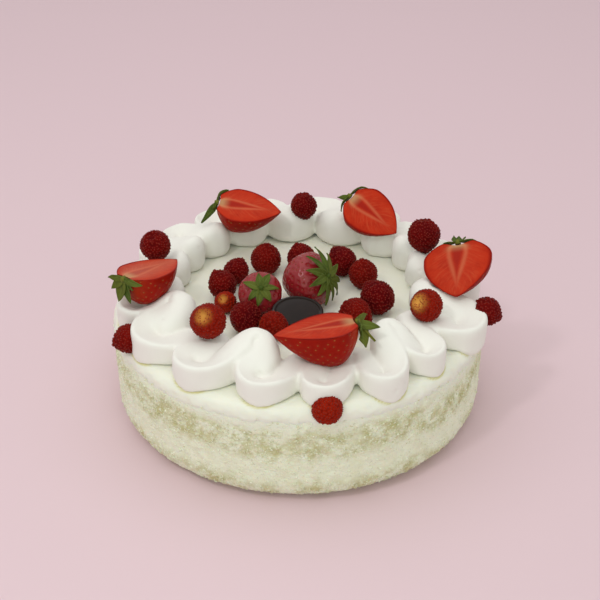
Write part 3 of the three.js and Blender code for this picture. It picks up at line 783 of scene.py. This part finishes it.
def calyx_mesh(spec, fruit_axes, shift, draws, half):
    """The leaves of one strawberry: pointed, ribbed and bent, on a stump of stalk."""
    chance = np.random.default_rng(draws)
    axes, place = fruit_axes
    bm = bmesh.new()
    leaf_data = []
    notch = spec.get("notch", 1.0) - 1.0
    shoulder = -spec["length"] / 2 - CALYX_CLEARANCE
    stalk_end = shoulder + 0.8 * notch
    wide = spec["width"] / 2
    deep = spec.get("depth", wide)
    for azimuth, length, breadth, bend, roll in spec.get("leaves") or leaf_ring(spec, chance):
        turn = np.radians(azimuth)
        reach = np.hypot(np.cos(turn) * wide, np.sin(turn) * deep)
        before = len(bm.verts)
        bmesh.ops.create_grid(bm, x_segments=8, y_segments=18, size=0.5)
        bm.verts.ensure_lookup_table()
        grid = bm.verts[before:]
        across = np.array([corner.co.x * 2 for corner in grid])
        along = np.array([corner.co.y + 0.5 for corner in grid])
        sway, wave = chance.uniform(-0.14, 0.14), chance.uniform(0, 6)
        yellow = chance.uniform(0, 0.5) + 0.5 * (breadth > 4)
        out, up, slope = leaf_line(length, reach, bend, along)
        breadth_here = across * breadth * leaf_width(along)
        side = breadth_here * math.cos(math.radians(roll))
        lift = breadth_here * math.sin(math.radians(roll))
        out, up = out - lift * np.sin(slope), up + lift * np.cos(slope)
        angle = turn + sway * along
        x = out * np.cos(angle) - side * np.sin(angle)
        y = out * np.sin(angle) + side * np.cos(angle)
        if half:
            y = np.minimum(y, 0.4)
        keel = 0.22 * breadth * np.abs(across) * (1 - 0.5 * along)
        ruffle = 0.3 * np.sin(6 * along + wave + 2.2 * across) * along
        skin = spec["length"] * shoulder_fall(np.hypot(x / wide, y / deep))
        dip = 0.8 * notch * np.exp(-((x / (0.34 * wide)) ** 2))
        z = np.minimum(stalk_end + up - keel + ruffle, shoulder + skin + dip)
        for number, corner in enumerate(grid):
            corner.co = (x[number], y[number], z[number])
        leaf_data.extend(zip(across, along, np.full(len(grid), yellow)))
    stump_from = len(bm.verts)
    low = -0.9 if half else 0
    if "stalk" in spec:
        azimuth, length, flare = spec["stalk"]
        turn = np.radians(azimuth)
        way = Vector((flare * math.cos(turn), flare * math.sin(turn), -1)).normalized()
        tilt = way.to_track_quat("Z", "Y").to_matrix().to_4x4()
        middle = Vector((0, low, stalk_end)) + way * length / 2
        bmesh.ops.create_cone(bm, cap_ends=True, segments=10, radius1=0.85, radius2=0.45, depth=length,
                              matrix=Matrix.Translation(middle) @ tilt)
    bmesh.ops.create_cone(bm, cap_ends=True, segments=12, radius1=1.2, radius2=1.6, depth=2.2,
                          matrix=Matrix.Translation((0, low, stalk_end - 0.2)))
    leaf_data.extend([(0.5, 0.3, 0.8 if half else 0.0)] * (len(bm.verts) - stump_from))
    mesh = mesh_from(bm, "calyx")
    local = points_of(mesh) * MM
    move_points(mesh, local @ axes.T + place + shift)
    attribute(mesh, "leaf", leaf_data)
    return mesh


# ---------------------------------------------------------------- the piped ribbon

def ribbon_middle(place):
    """Numbers of the ribbon's middle line at places counted in loops: whole ones are inner turns."""
    turns = np.array(INNER_TURNS, float)
    count = len(turns)
    loop = np.floor(place).astype(int)
    here, after = turns[loop % count], turns[(loop + 1) % count]
    pitch = (after[:, 0] - here[:, 0]) % 360
    share = (place - loop) * 2
    swing = share + ROUND_TURNS * np.sin(2 * np.pi * share) / (2 * np.pi)
    nearness = 1 - np.abs(share - 1)  # 1 at the outer turn
    leaning = nearness - np.sin(2 * np.pi * nearness) / (2 * np.pi)
    azimuth = np.radians(here[:, 0] + pitch * swing / 2 + here[:, 3] * leaning)
    outward = (1 - np.cos(np.pi * share)) / 2
    radius = mix(INNER_TURN_RADIUS, OUTER_TURN_RADIUS + here[:, 2], outward)
    height = mix(np.where(share < 1, here[:, 1], after[:, 1]), RIM_HEIGHT, outward)
    middle = (INNER_TURN_RADIUS + OUTER_TURN_RADIUS) / 2
    half = clamp(np.radians(pitch) * middle * RIBBON_TO_PITCH, RIBBON_HALF_MIN, RIBBON_HALF_MAX)
    return radius * np.cos(azimuth), radius * np.sin(azimuth), outward, height, half


def ribbon_surface(place, around):
    """Points of the ribbon's surface: places along it, and angles round its section from 0 to 2 pi."""
    step = 0.01
    before, here, after = ribbon_middle(place - step), ribbon_middle(place), ribbon_middle(place + step)
    run = [(after[axis] - before[axis]) / (2 * step) for axis in (0, 1)]
    change = [(after[axis] - 2 * here[axis] + before[axis]) / step ** 2 for axis in (0, 1)]
    speed = np.hypot(*run)
    curvature = (run[0] * change[1] - run[1] * change[0]) / speed ** 3
    x, y, outward, height, half = here
    squareness = mix(0.55, 0.34, outward)
    across = np.sign(np.cos(around)) * np.abs(np.cos(around)) ** squareness
    up = 0.5 + 0.5 * np.sign(np.sin(around)) * np.abs(np.sin(around)) ** squareness
    room = 0.82 / np.maximum(np.abs(curvature), 1e-6)
    reach = np.where(across * curvature < 0, np.minimum(half, room), half)
    on_top = smooth(0.55, 0.9, up)
    rim = 0.06 * outward * on_top * np.exp(-(((across - 0.84) / 0.16) ** 2))
    dish = OUTER_DISH * outward * (1 - across) * 0.5
    dome = INNER_DOME * (1 - outward) * across ** 2
    rise = height * (up * (1 - dish - dome) + rim)
    x, y = x + run[1] / speed * across * reach, y - run[0] / speed * across * reach
    sag = over_edge(np.hypot(x, y)) * (1 + 4.5 * (1 - up))
    return np.stack([x, y, PLATEAU - 0.6 + rise - sag], axis=-1)


def over_edge(reach):
    """0 on the cake's top, towards 1 where the ribbon hangs over its edge."""
    return smooth(103.5, 111, reach)


def ribbon_foot():
    """Points along both sides of the ribbon, where it stands on the cream."""
    place = np.linspace(0, len(INNER_TURNS), 2600)
    sides = (-0.6, np.pi + 0.6)
    return np.concatenate([ribbon_surface(place, np.full(len(place), angle)) for angle in sides])


def ribbon_tube():
    """The whole ribbon as one tube that crosses itself, before it is fused."""
    sides, per_loop = 36, 48
    bm = bmesh.new()
    bmesh.ops.create_cone(bm, cap_ends=True, segments=sides, radius1=1.0, radius2=1.0, depth=1.0)
    upright = [edge for edge in bm.edges if abs(edge.verts[0].co.z - edge.verts[1].co.z) > 0.5]
    bmesh.ops.subdivide_edges(bm, edges=upright, cuts=len(INNER_TURNS) * per_loop - 1, use_grid_fill=True)
    mesh = mesh_from(bm, "ribbon")
    unit = points_of(mesh) * MM
    count = len(INNER_TURNS)
    place = (unit[:, 2] + 0.5) * (count + 0.04) - 0.02
    around = np.arctan2(unit[:, 1], unit[:, 0])
    move_points(mesh, ribbon_surface(place, around))
    return mesh


def fused(mesh, voxel):
    """The mesh made one skin by a voxel remesh."""
    carrier = bpy.data.objects.new("carrier", mesh)
    bpy.context.scene.collection.objects.link(carrier)
    remesh = carrier.modifiers.new("fuse", "REMESH")
    remesh.mode = "VOXEL"
    remesh.voxel_size = voxel
    bpy.context.view_layer.update()
    graph = bpy.context.evaluated_depsgraph_get()
    result = bpy.data.meshes.new_from_object(carrier.evaluated_get(graph))
    bpy.data.objects.remove(carrier)
    return result


def edge_pairs(mesh):
    flat = np.empty(len(mesh.edges) * 2, dtype=int)
    mesh.edges.foreach_get("vertices", flat)
    return flat.reshape(-1, 2)


def relaxed(points, pairs, rounds, share=0.5):
    """Points moved towards the mean of their neighbours."""
    count = len(points)
    degree = np.bincount(pairs.ravel(), minlength=count)
    for _ in range(rounds):
        total = np.stack([
            np.bincount(pairs[:, 0], weights=points[pairs[:, 1], axis], minlength=count)
            + np.bincount(pairs[:, 1], weights=points[pairs[:, 0], axis], minlength=count)
            for axis in range(3)
        ], axis=-1)
        points = mix(points, total / degree[:, None], share)
    return points


def fold_depth(mesh, rounds, full):
    """0 on flat and rounded cream, towards 1 deep in its folds."""
    points, pairs = points_of(mesh), edge_pairs(mesh)
    blurred = relaxed(points, pairs, rounds)
    depth = np.sum((blurred - points) * normals_of(mesh), axis=1)
    spread = relaxed(np.column_stack([depth, depth, depth]), pairs, 3)[:, 0]
    return clamp(spread / full)


# ---------------------------------------------------------------- operators

class CAKE_OT_coat(bpy.types.Operator):
    """Make the coconut-coated body of the cake, with its clumps, flakes and crumbs"""

    bl_idname = "cake.coat"
    bl_label = "Coconut coat"

    def execute(self, context):
        sizes, colours = context.scene.cake_sizes, context.scene.cake_colours
        profile = [(0, 0), (40, 0), (70, 0), (88, 0)]
        for angle in np.linspace(0, np.pi / 2, 16):
            profile.append((CAKE_RADIUS - BASE_ROUND * (1 - np.sin(angle)), BASE_ROUND * (1 - np.cos(angle))))
        for height in np.arange(BASE_ROUND + 0.9, SPONGE_TOP + 1.5, 0.9):
            lean = 0.9 * smooth(SKIRT_START, SPONGE_TOP + 2, height)
            profile.append((CAKE_RADIUS - lean, height))
        profile += [(CAKE_RADIUS - 3, SPONGE_TOP + 1.8), (60, SPONGE_TOP + 1.8), (0, SPONGE_TOP + 1.8)]
        mesh = mesh_from(spun(profile, 620), "coconut_coat")
        points = points_of(mesh)
        coarse, creamy = self.bands(points)
        reach = np.hypot(points[:, 0], points[:, 1])
        outward = points * np.array([1, 1, 0]) / np.maximum(reach, 1)[:, None]
        move_points(mesh, points + outward * self.relief(points, coarse, creamy, sizes)[:, None])
        attribute(mesh, "coat", np.column_stack([coarse, creamy, np.zeros(len(points))]))
        add_piece("coconut_coat", mesh, [coat_finish(colours)], ["coated_sponge"])
        self.strew(sizes, colours)
        return {"FINISHED"}

    @staticmethod
    def bands(points):
        """How coarse the coat is, and how much smooth cream shows, at points of the wall."""
        height = points[:, 2]
        drift = roughness_at(points, 34.0, 2, 3.0)
        shifted = height + 4.0 * drift
        upper = smooth(27, 36, shifted) * (1 - smooth(43, 55, shifted))
        lower = 1 - smooth(8, 19, shifted)
        patchy = clamp(0.8 + 0.9 * roughness_at(points, 16.0, 3, 4.0))
        coarse = clamp((0.95 * upper + 0.9 * lower + 0.2) * patchy)
        ragged = roughness_at(points, 6.0, 3, 7.0)
        creamy = smooth(49, 56, height + 6.0 * drift + 4.0 * ragged)
        return coarse, creamy

    @staticmethod
    def relief(points, coarse, creamy, sizes):
        """How far the coat stands out at points of the wall."""
        lumps = roughness_at(points, 7.0, 3, 1.0)
        crumbs = roughness_at(points, 1.7, 2, 2.0)
        on_wall = smooth(80, 95, np.hypot(points[:, 0], points[:, 1])) * smooth(0.0, 2.0, points[:, 2])
        depth = (1 - 0.8 * creamy) * sizes.coat_relief / MM
        return on_wall * depth * (0.5 * lumps + (0.35 + 0.6 * coarse) * crumbs - 0.25)

    def strew(self, sizes, colours):
        """Flakes and crumbs on the wall, thick in the coarse bands and thin elsewhere."""
        finish = flake_finish(colours)
        kinds = (("coconut_flakes", sizes.flake_count, FLAKE_DRAWS),
                 ("coconut_crumbs", sizes.grain_count, CRUMB_DRAWS))
        for name, count, draws in kinds:
            chance = np.random.default_rng(draws)
            drawn = 5 * count
            azimuth = chance.uniform(0, 2 * np.pi, drawn)
            run = chance.uniform(0, 1, drawn) * (SPONGE_TOP + 1 + 0.57 * BASE_ROUND)
            round_part = run < BASE_ROUND * np.pi / 2
            turn = clamp(run / BASE_ROUND, 0, np.pi / 2)
            reach = np.where(round_part, CAKE_RADIUS - BASE_ROUND * (1 - np.sin(turn)), CAKE_RADIUS)
            height = np.where(round_part, BASE_ROUND * (1 - np.cos(turn)), run - BASE_ROUND * (np.pi / 2 - 1))
            points = np.column_stack([reach * np.cos(azimuth), reach * np.sin(azimuth), height])
            coarse, creamy = self.bands(points)
            likely = clamp((0.25 + coarse) * (1 - 0.65 * creamy)) * 0.9
            kept = np.flatnonzero(chance.uniform(0, 1, drawn) < likely)[:count]
            drawings = (points, azimuth, turn, coarse, creamy)
            points, azimuth, turn, coarse, creamy = (part[kept] for part in drawings)
            total = len(kept)
            normal = np.column_stack([np.cos(azimuth) * np.sin(turn), np.sin(azimuth) * np.sin(turn),
                                      -np.cos(turn)])
            around = np.column_stack([-np.sin(azimuth), np.cos(azimuth), np.zeros(total)])
            rising = np.cross(normal, around)
            spin = chance.uniform(0, np.pi, total)[:, None]
            tilt = chance.normal(0, 0.35, total)[:, None]
            flat = np.cos(spin) * around + np.sin(spin) * rising
            long_axis = flat * np.cos(tilt) + normal * np.sin(tilt)
            thin_axis = normal * np.cos(tilt) - flat * np.sin(tilt)
            axes = np.stack([np.cross(thin_axis, long_axis), long_axis, thin_axis], axis=-1)
            if name == "coconut_flakes":
                length = sizes.flake_length / MM * chance.uniform(0.5, 1.25, total) / 2
                scales = np.column_stack([length * 0.32, length, np.full(total, 0.2)])
            else:
                grain = chance.uniform(0.3, 0.72, total)
                scales = np.column_stack([grain, grain * chance.uniform(0.9, 1.6, total), grain * 0.7])
            stands = self.relief(points, coarse, creamy, sizes) - chance.uniform(0.0, 0.4, total)
            sunk = points + normal * stands[:, None]
            sunk[:, 2] = np.maximum(sunk[:, 2], 0.5)
            mesh, corners = scattered(small_ball(), sunk, axes, scales)
            tone = clamp(chance.normal(0.18 + 0.35 * coarse, 0.22, total))
            attribute(mesh, "tone", np.repeat(tone, corners))
            add_piece(name, mesh, [finish])


class CAKE_OT_cream_layer(bpy.types.Operator):
    """Make the smooth layer of whipped cream on top of the cake"""

    bl_idname = "cake.cream_layer"
    bl_label = "Cream layer"

    def execute(self, context):
        profile = [(0, SPONGE_TOP), (100, SPONGE_TOP), (104, SKIRT_START - 2),
                   (CAKE_RADIUS - 2.2, SKIRT_START - 1)]
        for height in np.arange(SKIRT_START, SPONGE_TOP + 1, 0.8):
            lean = 0.7 * (1 - smooth(SKIRT_START - 1, SKIRT_START + 4, height))
            profile.append((CAKE_RADIUS - lean, height))
        edge = PLATEAU - SPONGE_TOP - 1
        for angle in np.linspace(0, np.pi / 2, 12):
            profile.append((CAKE_RADIUS - edge * (1 - np.cos(angle)), PLATEAU - edge * (1 - np.sin(angle))))
        profile += [(reach, PLATEAU) for reach in np.arange(102, 60, -1.0)]
        profile += [(reach, PLATEAU) for reach in np.arange(60, 1, -2.5)] + [(0, PLATEAU)]
        mesh = mesh_from(spun(profile, 480), "cream_layer")
        points = points_of(mesh)
        reach = np.hypot(points[:, 0], points[:, 1])
        swept = roughness_at(points, 24.0, 2, 5.0)
        fine = roughness_at(points, 4.0, 3, 8.0)
        on_top = smooth(PLATEAU - 5, PLATEAU, points[:, 2]) * (reach > 0)
        points[:, 2] += on_top * (0.45 * swept + 0.1 * fine - 0.3)
        on_wall = smooth(100, 106, reach) * (1 - on_top)
        points[:, :2] *= (1 + on_wall * (0.3 * swept + 0.6 * fine - 0.2) / CAKE_RADIUS)[:, None]
        move_points(mesh, points)
        # Painted shade: a thin line and a wider faint band of yellowish shade round the ribbon's foot, on the
        # top of the cream only.
        line = 0.9 * pits(points, ribbon_foot(), 0.9)
        shade = 0.12 * pits(points, ribbon_foot(), 4.0)
        attribute(mesh, "painted_shade", clamp(line + shade) * smooth(SPONGE_TOP, PLATEAU - 3, points[:, 2]))
        finish = cream_finish(context.scene.cake_colours)
        add_piece("cream_top", mesh, [finish], ["cream_layer"])
        return {"FINISHED"}


class CAKE_OT_piped_border(bpy.types.Operator):
    """Make the ribbon of whipped cream that is piped in loops round the edge"""

    bl_idname = "cake.piped_border"
    bl_label = "Piped border"

    def execute(self, context):
        sizes = context.scene.cake_sizes
        mesh = fused(ribbon_tube(), sizes.cream_voxel)
        pairs = edge_pairs(mesh)
        points = relaxed(points_of(mesh), pairs, 3)
        move_points(mesh, points)
        flow = roughness_at(points, 15.0, 2, 6.0)
        points = points + normals_of(mesh) * (0.5 * flow)[:, None]
        lowest = PLATEAU - 0.5 - 5.5 * over_edge(np.hypot(points[:, 0], points[:, 1]))
        points[:, 2] = np.maximum(points[:, 2], lowest)
        move_points(mesh, self.bubbled(mesh, points))
        mesh.shade_smooth()
        # Painted shade: deep folds, broad hollows and the ribbon's foot, where it meets the cream, get the
        # yellowish shade colour.
        folds = fold_depth(mesh, 14, 0.6)
        hollows = fold_depth(mesh, 60, 2.6)
        foot = np.exp(-np.maximum(points[:, 2] - lowest, 0) / 1.0)
        attribute(mesh, "painted_shade", clamp(0.8 * folds + 0.35 * hollows + 0.8 * foot))
        finish = bpy.data.materials["whipped_cream"]
        add_piece("piped_cream", mesh, [finish], ["cream_border"])
        return {"FINISHED"}

    @staticmethod
    def bubbled(mesh, points):
        """Small burst bubbles here and there on the cream."""
        chance = np.random.default_rng(BUBBLE_DRAWS)
        centres = points[chance.choice(len(points), 60, replace=False)]
        depth = pits(points, centres, 0.9)
        return points - normals_of(mesh) * (0.55 * depth)[:, None]


class CAKE_OT_halved_strawberries(bpy.types.Operator):
    """Make the five halved strawberries that stand in the border"""

    bl_idname = "cake.halved_strawberries"
    bl_label = "Halved strawberries"

    def execute(self, context):
        sizes, colours = context.scene.cake_sizes, context.scene.cake_colours
        skin, flesh = skin_finish(colours), flesh_finish(colours)
        leaves = leaf_finish(colours)
        seeds = Strewn()
        for number, (name, spec) in enumerate(HALVES.items()):
            fruit = Fruit(spec["at"], spec["tip"], spec["face"], spec["length"], spec["width"], spec["depth"],
                          STRAWBERRY_WIDEST, HALF_DRAWS + number, HALF_LUMPS, spec["blunt"])
            mesh, turn, azimuth = turned_ball(*HALF_GRID)
            local = fruit.local(turn, azimuth)
            share = clamp((turn - fruit.FLAT) / (1 - fruit.FLAT))
            seed_turn, seed_azimuth = fruit.seeds(sizes.seed_gap / MM)
            shown = fruit.local(seed_turn, seed_azimuth)[:, 1] < -1.2
            seed_turn, seed_azimuth = seed_turn[shown], seed_azimuth[shown]
            pit = pits(local, fruit.local(seed_turn, seed_azimuth), 1.0)
            cut = local[:, 1] > 1e-4
            local = local - fruit.normal(turn, azimuth) * (0.4 * pit * ~cut)[:, None]
            wide = np.maximum(fruit_radius(share, fruit.widest, fruit.blunt) * spec["width"] / 2, 0.3)
            across = clamp(local[:, 0] / wide, -1, 1)
            crown = 0.25 * (1 - across ** 2) * smooth(0.0, 0.1, share) * (1 - smooth(0.9, 1.0, share))
            local[cut, 1] = crown[cut] - 0.1
            dip = np.exp(-((local[:, 0] / (0.17 * spec["width"])) ** 2)) * (1 - smooth(0.0, 0.14, share))
            local[:, 2] += spec["notch"] * dip
            move_points(mesh, fruit.world(local))
            attribute(mesh, "fruit", np.column_stack([share, pit, np.full(len(share), 0.45)]))
            attribute(mesh, "slice", np.column_stack([across, share, np.zeros(len(share))]))
            attribute(mesh, "pale", np.full(len(share), spec["pale"]))
            top = np.array([all(cut[corner] or abs(local[corner, 1]) < 0.2 for corner in face.vertices)
                            for face in mesh.polygons])
            mesh.polygons.foreach_set("material_index", top.astype(int))
            add_piece(f"halved_strawberry_{name}", mesh, [skin, flesh], [f"half_strawberry_{name}"])
            seeds.add(fruit, seed_turn, seed_azimuth, 0, HALF_SEED, 0.3)
            fruit_axes = placement(spec["at"], spec["tip"], spec["face"])
            calyx = calyx_mesh(spec, fruit_axes, 0, HALF_LEAF_DRAWS + number, True)
            thicken(add_piece(f"leaves_{name}", calyx, [leaves], [f"calyx_{name}"]))
        finish = seed_finish("strawberry_seed", (0.36, 0.11, 0.025, 1.0), (0.20, 0.02, 0.01, 1.0), 0.4)
        add_piece("halved_strawberry_seeds", seeds.mesh(), [finish])
        return {"FINISHED"}


def thicken(piece):
    """Gives the leaves of a calyx their thickness."""
    wall = piece.modifiers.new("thickness", "SOLIDIFY")
    wall.thickness = LEAF_THICKNESS * MM
    wall.offset = 0.0


class CAKE_OT_whole_strawberries(bpy.types.Operator):
    """Make the two whole strawberries in the middle"""

    bl_idname = "cake.whole_strawberries"
    bl_label = "Whole strawberries"

    def execute(self, context):
        sizes = context.scene.cake_sizes
        skin, leaves = bpy.data.materials["strawberry_skin"], bpy.data.materials["leaf_green"]
        seeds = Strewn()
        for number, (name, spec) in enumerate(WHOLES.items()):
            fruit = Fruit(spec["at"], spec["tip"], (0, 0, 1), spec["length"], spec["width"], None,
                          STRAWBERRY_WIDEST, WHOLE_DRAWS + number, WHOLE_LUMPS)
            mesh, turn, azimuth = turned_ball(*WHOLE_GRID)
            share = clamp((turn - fruit.FLAT) / (1 - fruit.FLAT))
            seed_turn, seed_azimuth = fruit.seeds(sizes.seed_gap / MM)
            local = fruit.local(turn, azimuth)
            pit = pits(local, fruit.local(seed_turn, seed_azimuth), 1.05)
            local = local - fruit.normal(turn, azimuth) * (0.5 * pit)[:, None]
            points = fruit.world(local)
            shift = settle(points, f"strawberry_{name}")
            move_points(mesh, points + shift)
            attribute(mesh, "fruit", np.column_stack([share, pit, np.full(len(share), spec["ripe"])]))
            add_piece(f"whole_strawberry_{name}", mesh, [skin], [f"strawberry_{name}"])
            seeds.add(fruit, seed_turn, seed_azimuth, shift, WHOLE_SEED, 0.4)
            fruit_axes = placement(spec["at"], spec["tip"])
            calyx = calyx_mesh(spec, fruit_axes, shift, WHOLE_LEAF_DRAWS + number, False)
            thicken(add_piece(f"leaves_{name}", calyx, [leaves], [f"calyx_{name}"]))
        finish = seed_finish("dark_strawberry_seed", (0.30, 0.07, 0.02, 1.0), (0.15, 0.015, 0.01, 1.0), 0.3)
        add_piece("whole_strawberry_seeds", seeds.mesh(), [finish])
        return {"FINISHED"}


def pale_patch(fruit, turn, local, pale):
    """How pale the skin of a wild strawberry is, at points round its stalk."""
    off_axis = np.hypot(local[:, 0], local[:, 1]) / (fruit.width / 2)
    return pale * (1 - smooth(0.08, 0.34 + 0.45 * pale, off_axis)) * (turn < 0.4)


class CAKE_OT_wild_strawberries(bpy.types.Operator):
    """Make the nineteen wild strawberries"""

    bl_idname = "cake.wild_strawberries"
    bl_label = "Wild strawberries"

    def execute(self, context):
        sizes, colours = context.scene.cake_sizes, context.scene.cake_colours
        skin = wild_finish(colours)
        seeds = Strewn()
        for number, (at, width, tip, ripe, pale) in enumerate(WILD):
            name = f"wild_strawberry_{number + 1:02d}"
            fruit = Fruit(at, tip, (0, 0, 1), width * WILD_LENGTH_TO_WIDTH, width, None, WILD_WIDEST,
                          WILD_DRAWS + number, WILD_LUMPS)
            mesh, turn, azimuth = turned_ball(*WILD_GRID)
            seed_turn, seed_azimuth = fruit.seeds(sizes.wild_seed_gap / MM, 0.03, 0.24)
            local = fruit.local(turn, azimuth)
            hill = pits(local, fruit.local(seed_turn, seed_azimuth), 0.75)
            local = local + fruit.normal(turn, azimuth) * (0.5 * hill - 0.4)[:, None]
            points = fruit.world(local)
            shift = settle(points, name) if len(at) == 2 else np.zeros(3)
            move_points(mesh, points + shift)
            patch = pale_patch(fruit, turn, local, pale)
            attribute(mesh, "fruit", np.column_stack([patch, hill, np.full(len(turn), ripe)]))
            add_piece(f"berry_{number + 1:02d}", mesh, [skin], [name])
            tone = 0.45 * pale_patch(fruit, seed_turn, fruit.local(seed_turn, seed_azimuth), pale)
            seeds.add(fruit, seed_turn, seed_azimuth, shift, WILD_SEED, 0.0, tone)
        finish = seed_finish("wild_strawberry_seed", (0.17, 0.008, 0.006, 1.0),
                             (0.26, 0.035, 0.015, 1.0), 0.32)
        add_piece("wild_strawberry_seeds", seeds.mesh(), [finish])
        return {"FINISHED"}


class CAKE_OT_plaque(bpy.types.Operator):
    """Make the bare oval plaque of dark chocolate"""

    bl_idname = "cake.plaque"
    bl_label = "Chocolate plaque"

    def execute(self, context):
        edge = 1 - 2 * PLAQUE["rim"] / PLAQUE["height"]
        raised, deep = PLAQUE["raised"], PLAQUE["thickness"]
        face_side = [(0, 0.35), (0.3, 0.33), (0.55, 0.25), (0.72, 0.12), (edge - 0.05, 0.0),
                     (edge - 0.02, 0.06)]
        rim_side = [(edge, raised * 0.7), (edge + 0.03, raised), (0.93, raised), (0.97, raised * 0.8),
                    (0.99, raised * 0.3), (1, -0.4)]
        back_side = [(0.995, -deep + 0.5), (0.97, -deep + 0.1), (0.94, -deep), (0, -deep)]
        profile = face_side + rim_side + back_side
        mesh = mesh_from(spun(profile, 160), "plaque")
        local = points_of(mesh)
        local[:, 0] *= PLAQUE["width"] / 2
        local[:, 1] *= PLAQUE["height"] / 2
        face = np.array(PLAQUE["face"])
        axes, place = placement(PLAQUE["at"], face, np.cross(face, (1, 0, 0)))
        move_points(mesh, local @ axes.T + place)
        piece = add_piece("bare_plaque", mesh, [chocolate_finish(context.scene.cake_colours)],
                          ["chocolate_plaque"])
        rounding = piece.modifiers.new("rounding", "SUBSURF")
        rounding.levels = rounding.render_levels = 1
        return {"FINISHED"}


class CAKE_OT_stage(bpy.types.Operator):
    """Make the floor, the lights and the camera"""

    bl_idname = "cake.stage"
    bl_label = "Stage"

    def execute(self, context):
        scene = context.scene
        bm = bmesh.new()
        bmesh.ops.create_grid(bm, x_segments=1, y_segments=1, size=FLOOR_HALF_WIDTH)
        mesh = mesh_from(bm, "floor")
        mesh.materials.append(floor_finish(scene.cake_colours))
        floor = bpy.data.objects.new("floor", mesh)
        scene.collection.objects.link(floor)
        for name, (place, size, power, colour) in LIGHTS.items():
            self.light(scene, name, place, size, power, colour)
        world = bpy.data.worlds.new("room")
        world.use_nodes = True
        background = world.node_tree.nodes["Background"]
        background.inputs["Color"].default_value = ROOM_COLOUR
        background.inputs["Strength"].default_value = ROOM_STRENGTH
        scene.world = world
        lens = bpy.data.cameras.new("camera")
        lens.sensor_width = SENSOR_WIDTH
        lens.lens = FOCAL_SHARE * SENSOR_WIDTH
        camera = bpy.data.objects.new("camera", lens)
        camera.location = CAMERA_PLACE
        camera.rotation_euler = (math.radians(90 - CAMERA_DOWN), 0, 0)
        scene.collection.objects.link(camera)
        scene.camera = camera
        scene.view_settings.view_transform = "Standard"
        return {"FINISHED"}

    @staticmethod
    def light(scene, name, place, size, power, colour):
        lamp = bpy.data.lights.new(name, "AREA")
        lamp.size = size
        lamp.energy = power
        lamp.color = colour
        holder = bpy.data.objects.new(name, lamp)
        holder.location = place
        aim = Vector(LIGHTS_AIM) - Vector(place)
        holder.rotation_euler = aim.to_track_quat("-Z", "Y").to_euler()
        scene.collection.objects.link(holder)


OPERATORS = (
    CAKE_OT_stage, CAKE_OT_coat, CAKE_OT_cream_layer, CAKE_OT_piped_border,
    CAKE_OT_halved_strawberries, CAKE_OT_whole_strawberries, CAKE_OT_wild_strawberries, CAKE_OT_plaque,
)


class CAKE_PT_panel(bpy.types.Panel):
    """The cake's pieces, sizes and colours"""

    bl_idname = "CAKE_PT_panel"
    bl_label = "Christening cake"
    bl_space_type = "VIEW_3D"
    bl_region_type = "UI"
    bl_category = "Cake"

    def draw(self, context):
        layout = self.layout
        for operator in OPERATORS:
            layout.operator(operator.bl_idname)
        for group in (context.scene.cake_sizes, context.scene.cake_colours):
            for name in type(group).__annotations__:
                layout.prop(group, name)


CLASSES = (CakeSizes, CakeColours, *OPERATORS, CAKE_PT_panel)


def register():
    for kind in CLASSES:
        bpy.utils.register_class(kind)
    bpy.types.Scene.cake_sizes = bpy.props.PointerProperty(type=CakeSizes)
    bpy.types.Scene.cake_colours = bpy.props.PointerProperty(type=CakeColours)


def unregister():
    del bpy.types.Scene.cake_colours
    del bpy.types.Scene.cake_sizes
    for kind in reversed(CLASSES):
        bpy.utils.unregister_class(kind)


def main():
    register()
    bpy.ops.cake.stage()
    bpy.ops.cake.coat()
    bpy.ops.cake.cream_layer()
    bpy.ops.cake.piped_border()
    bpy.ops.cake.halved_strawberries()
    bpy.ops.cake.whole_strawberries()
    bpy.ops.cake.wild_strawberries()
    bpy.ops.cake.plaque()


if __name__ == "__main__":
    main()
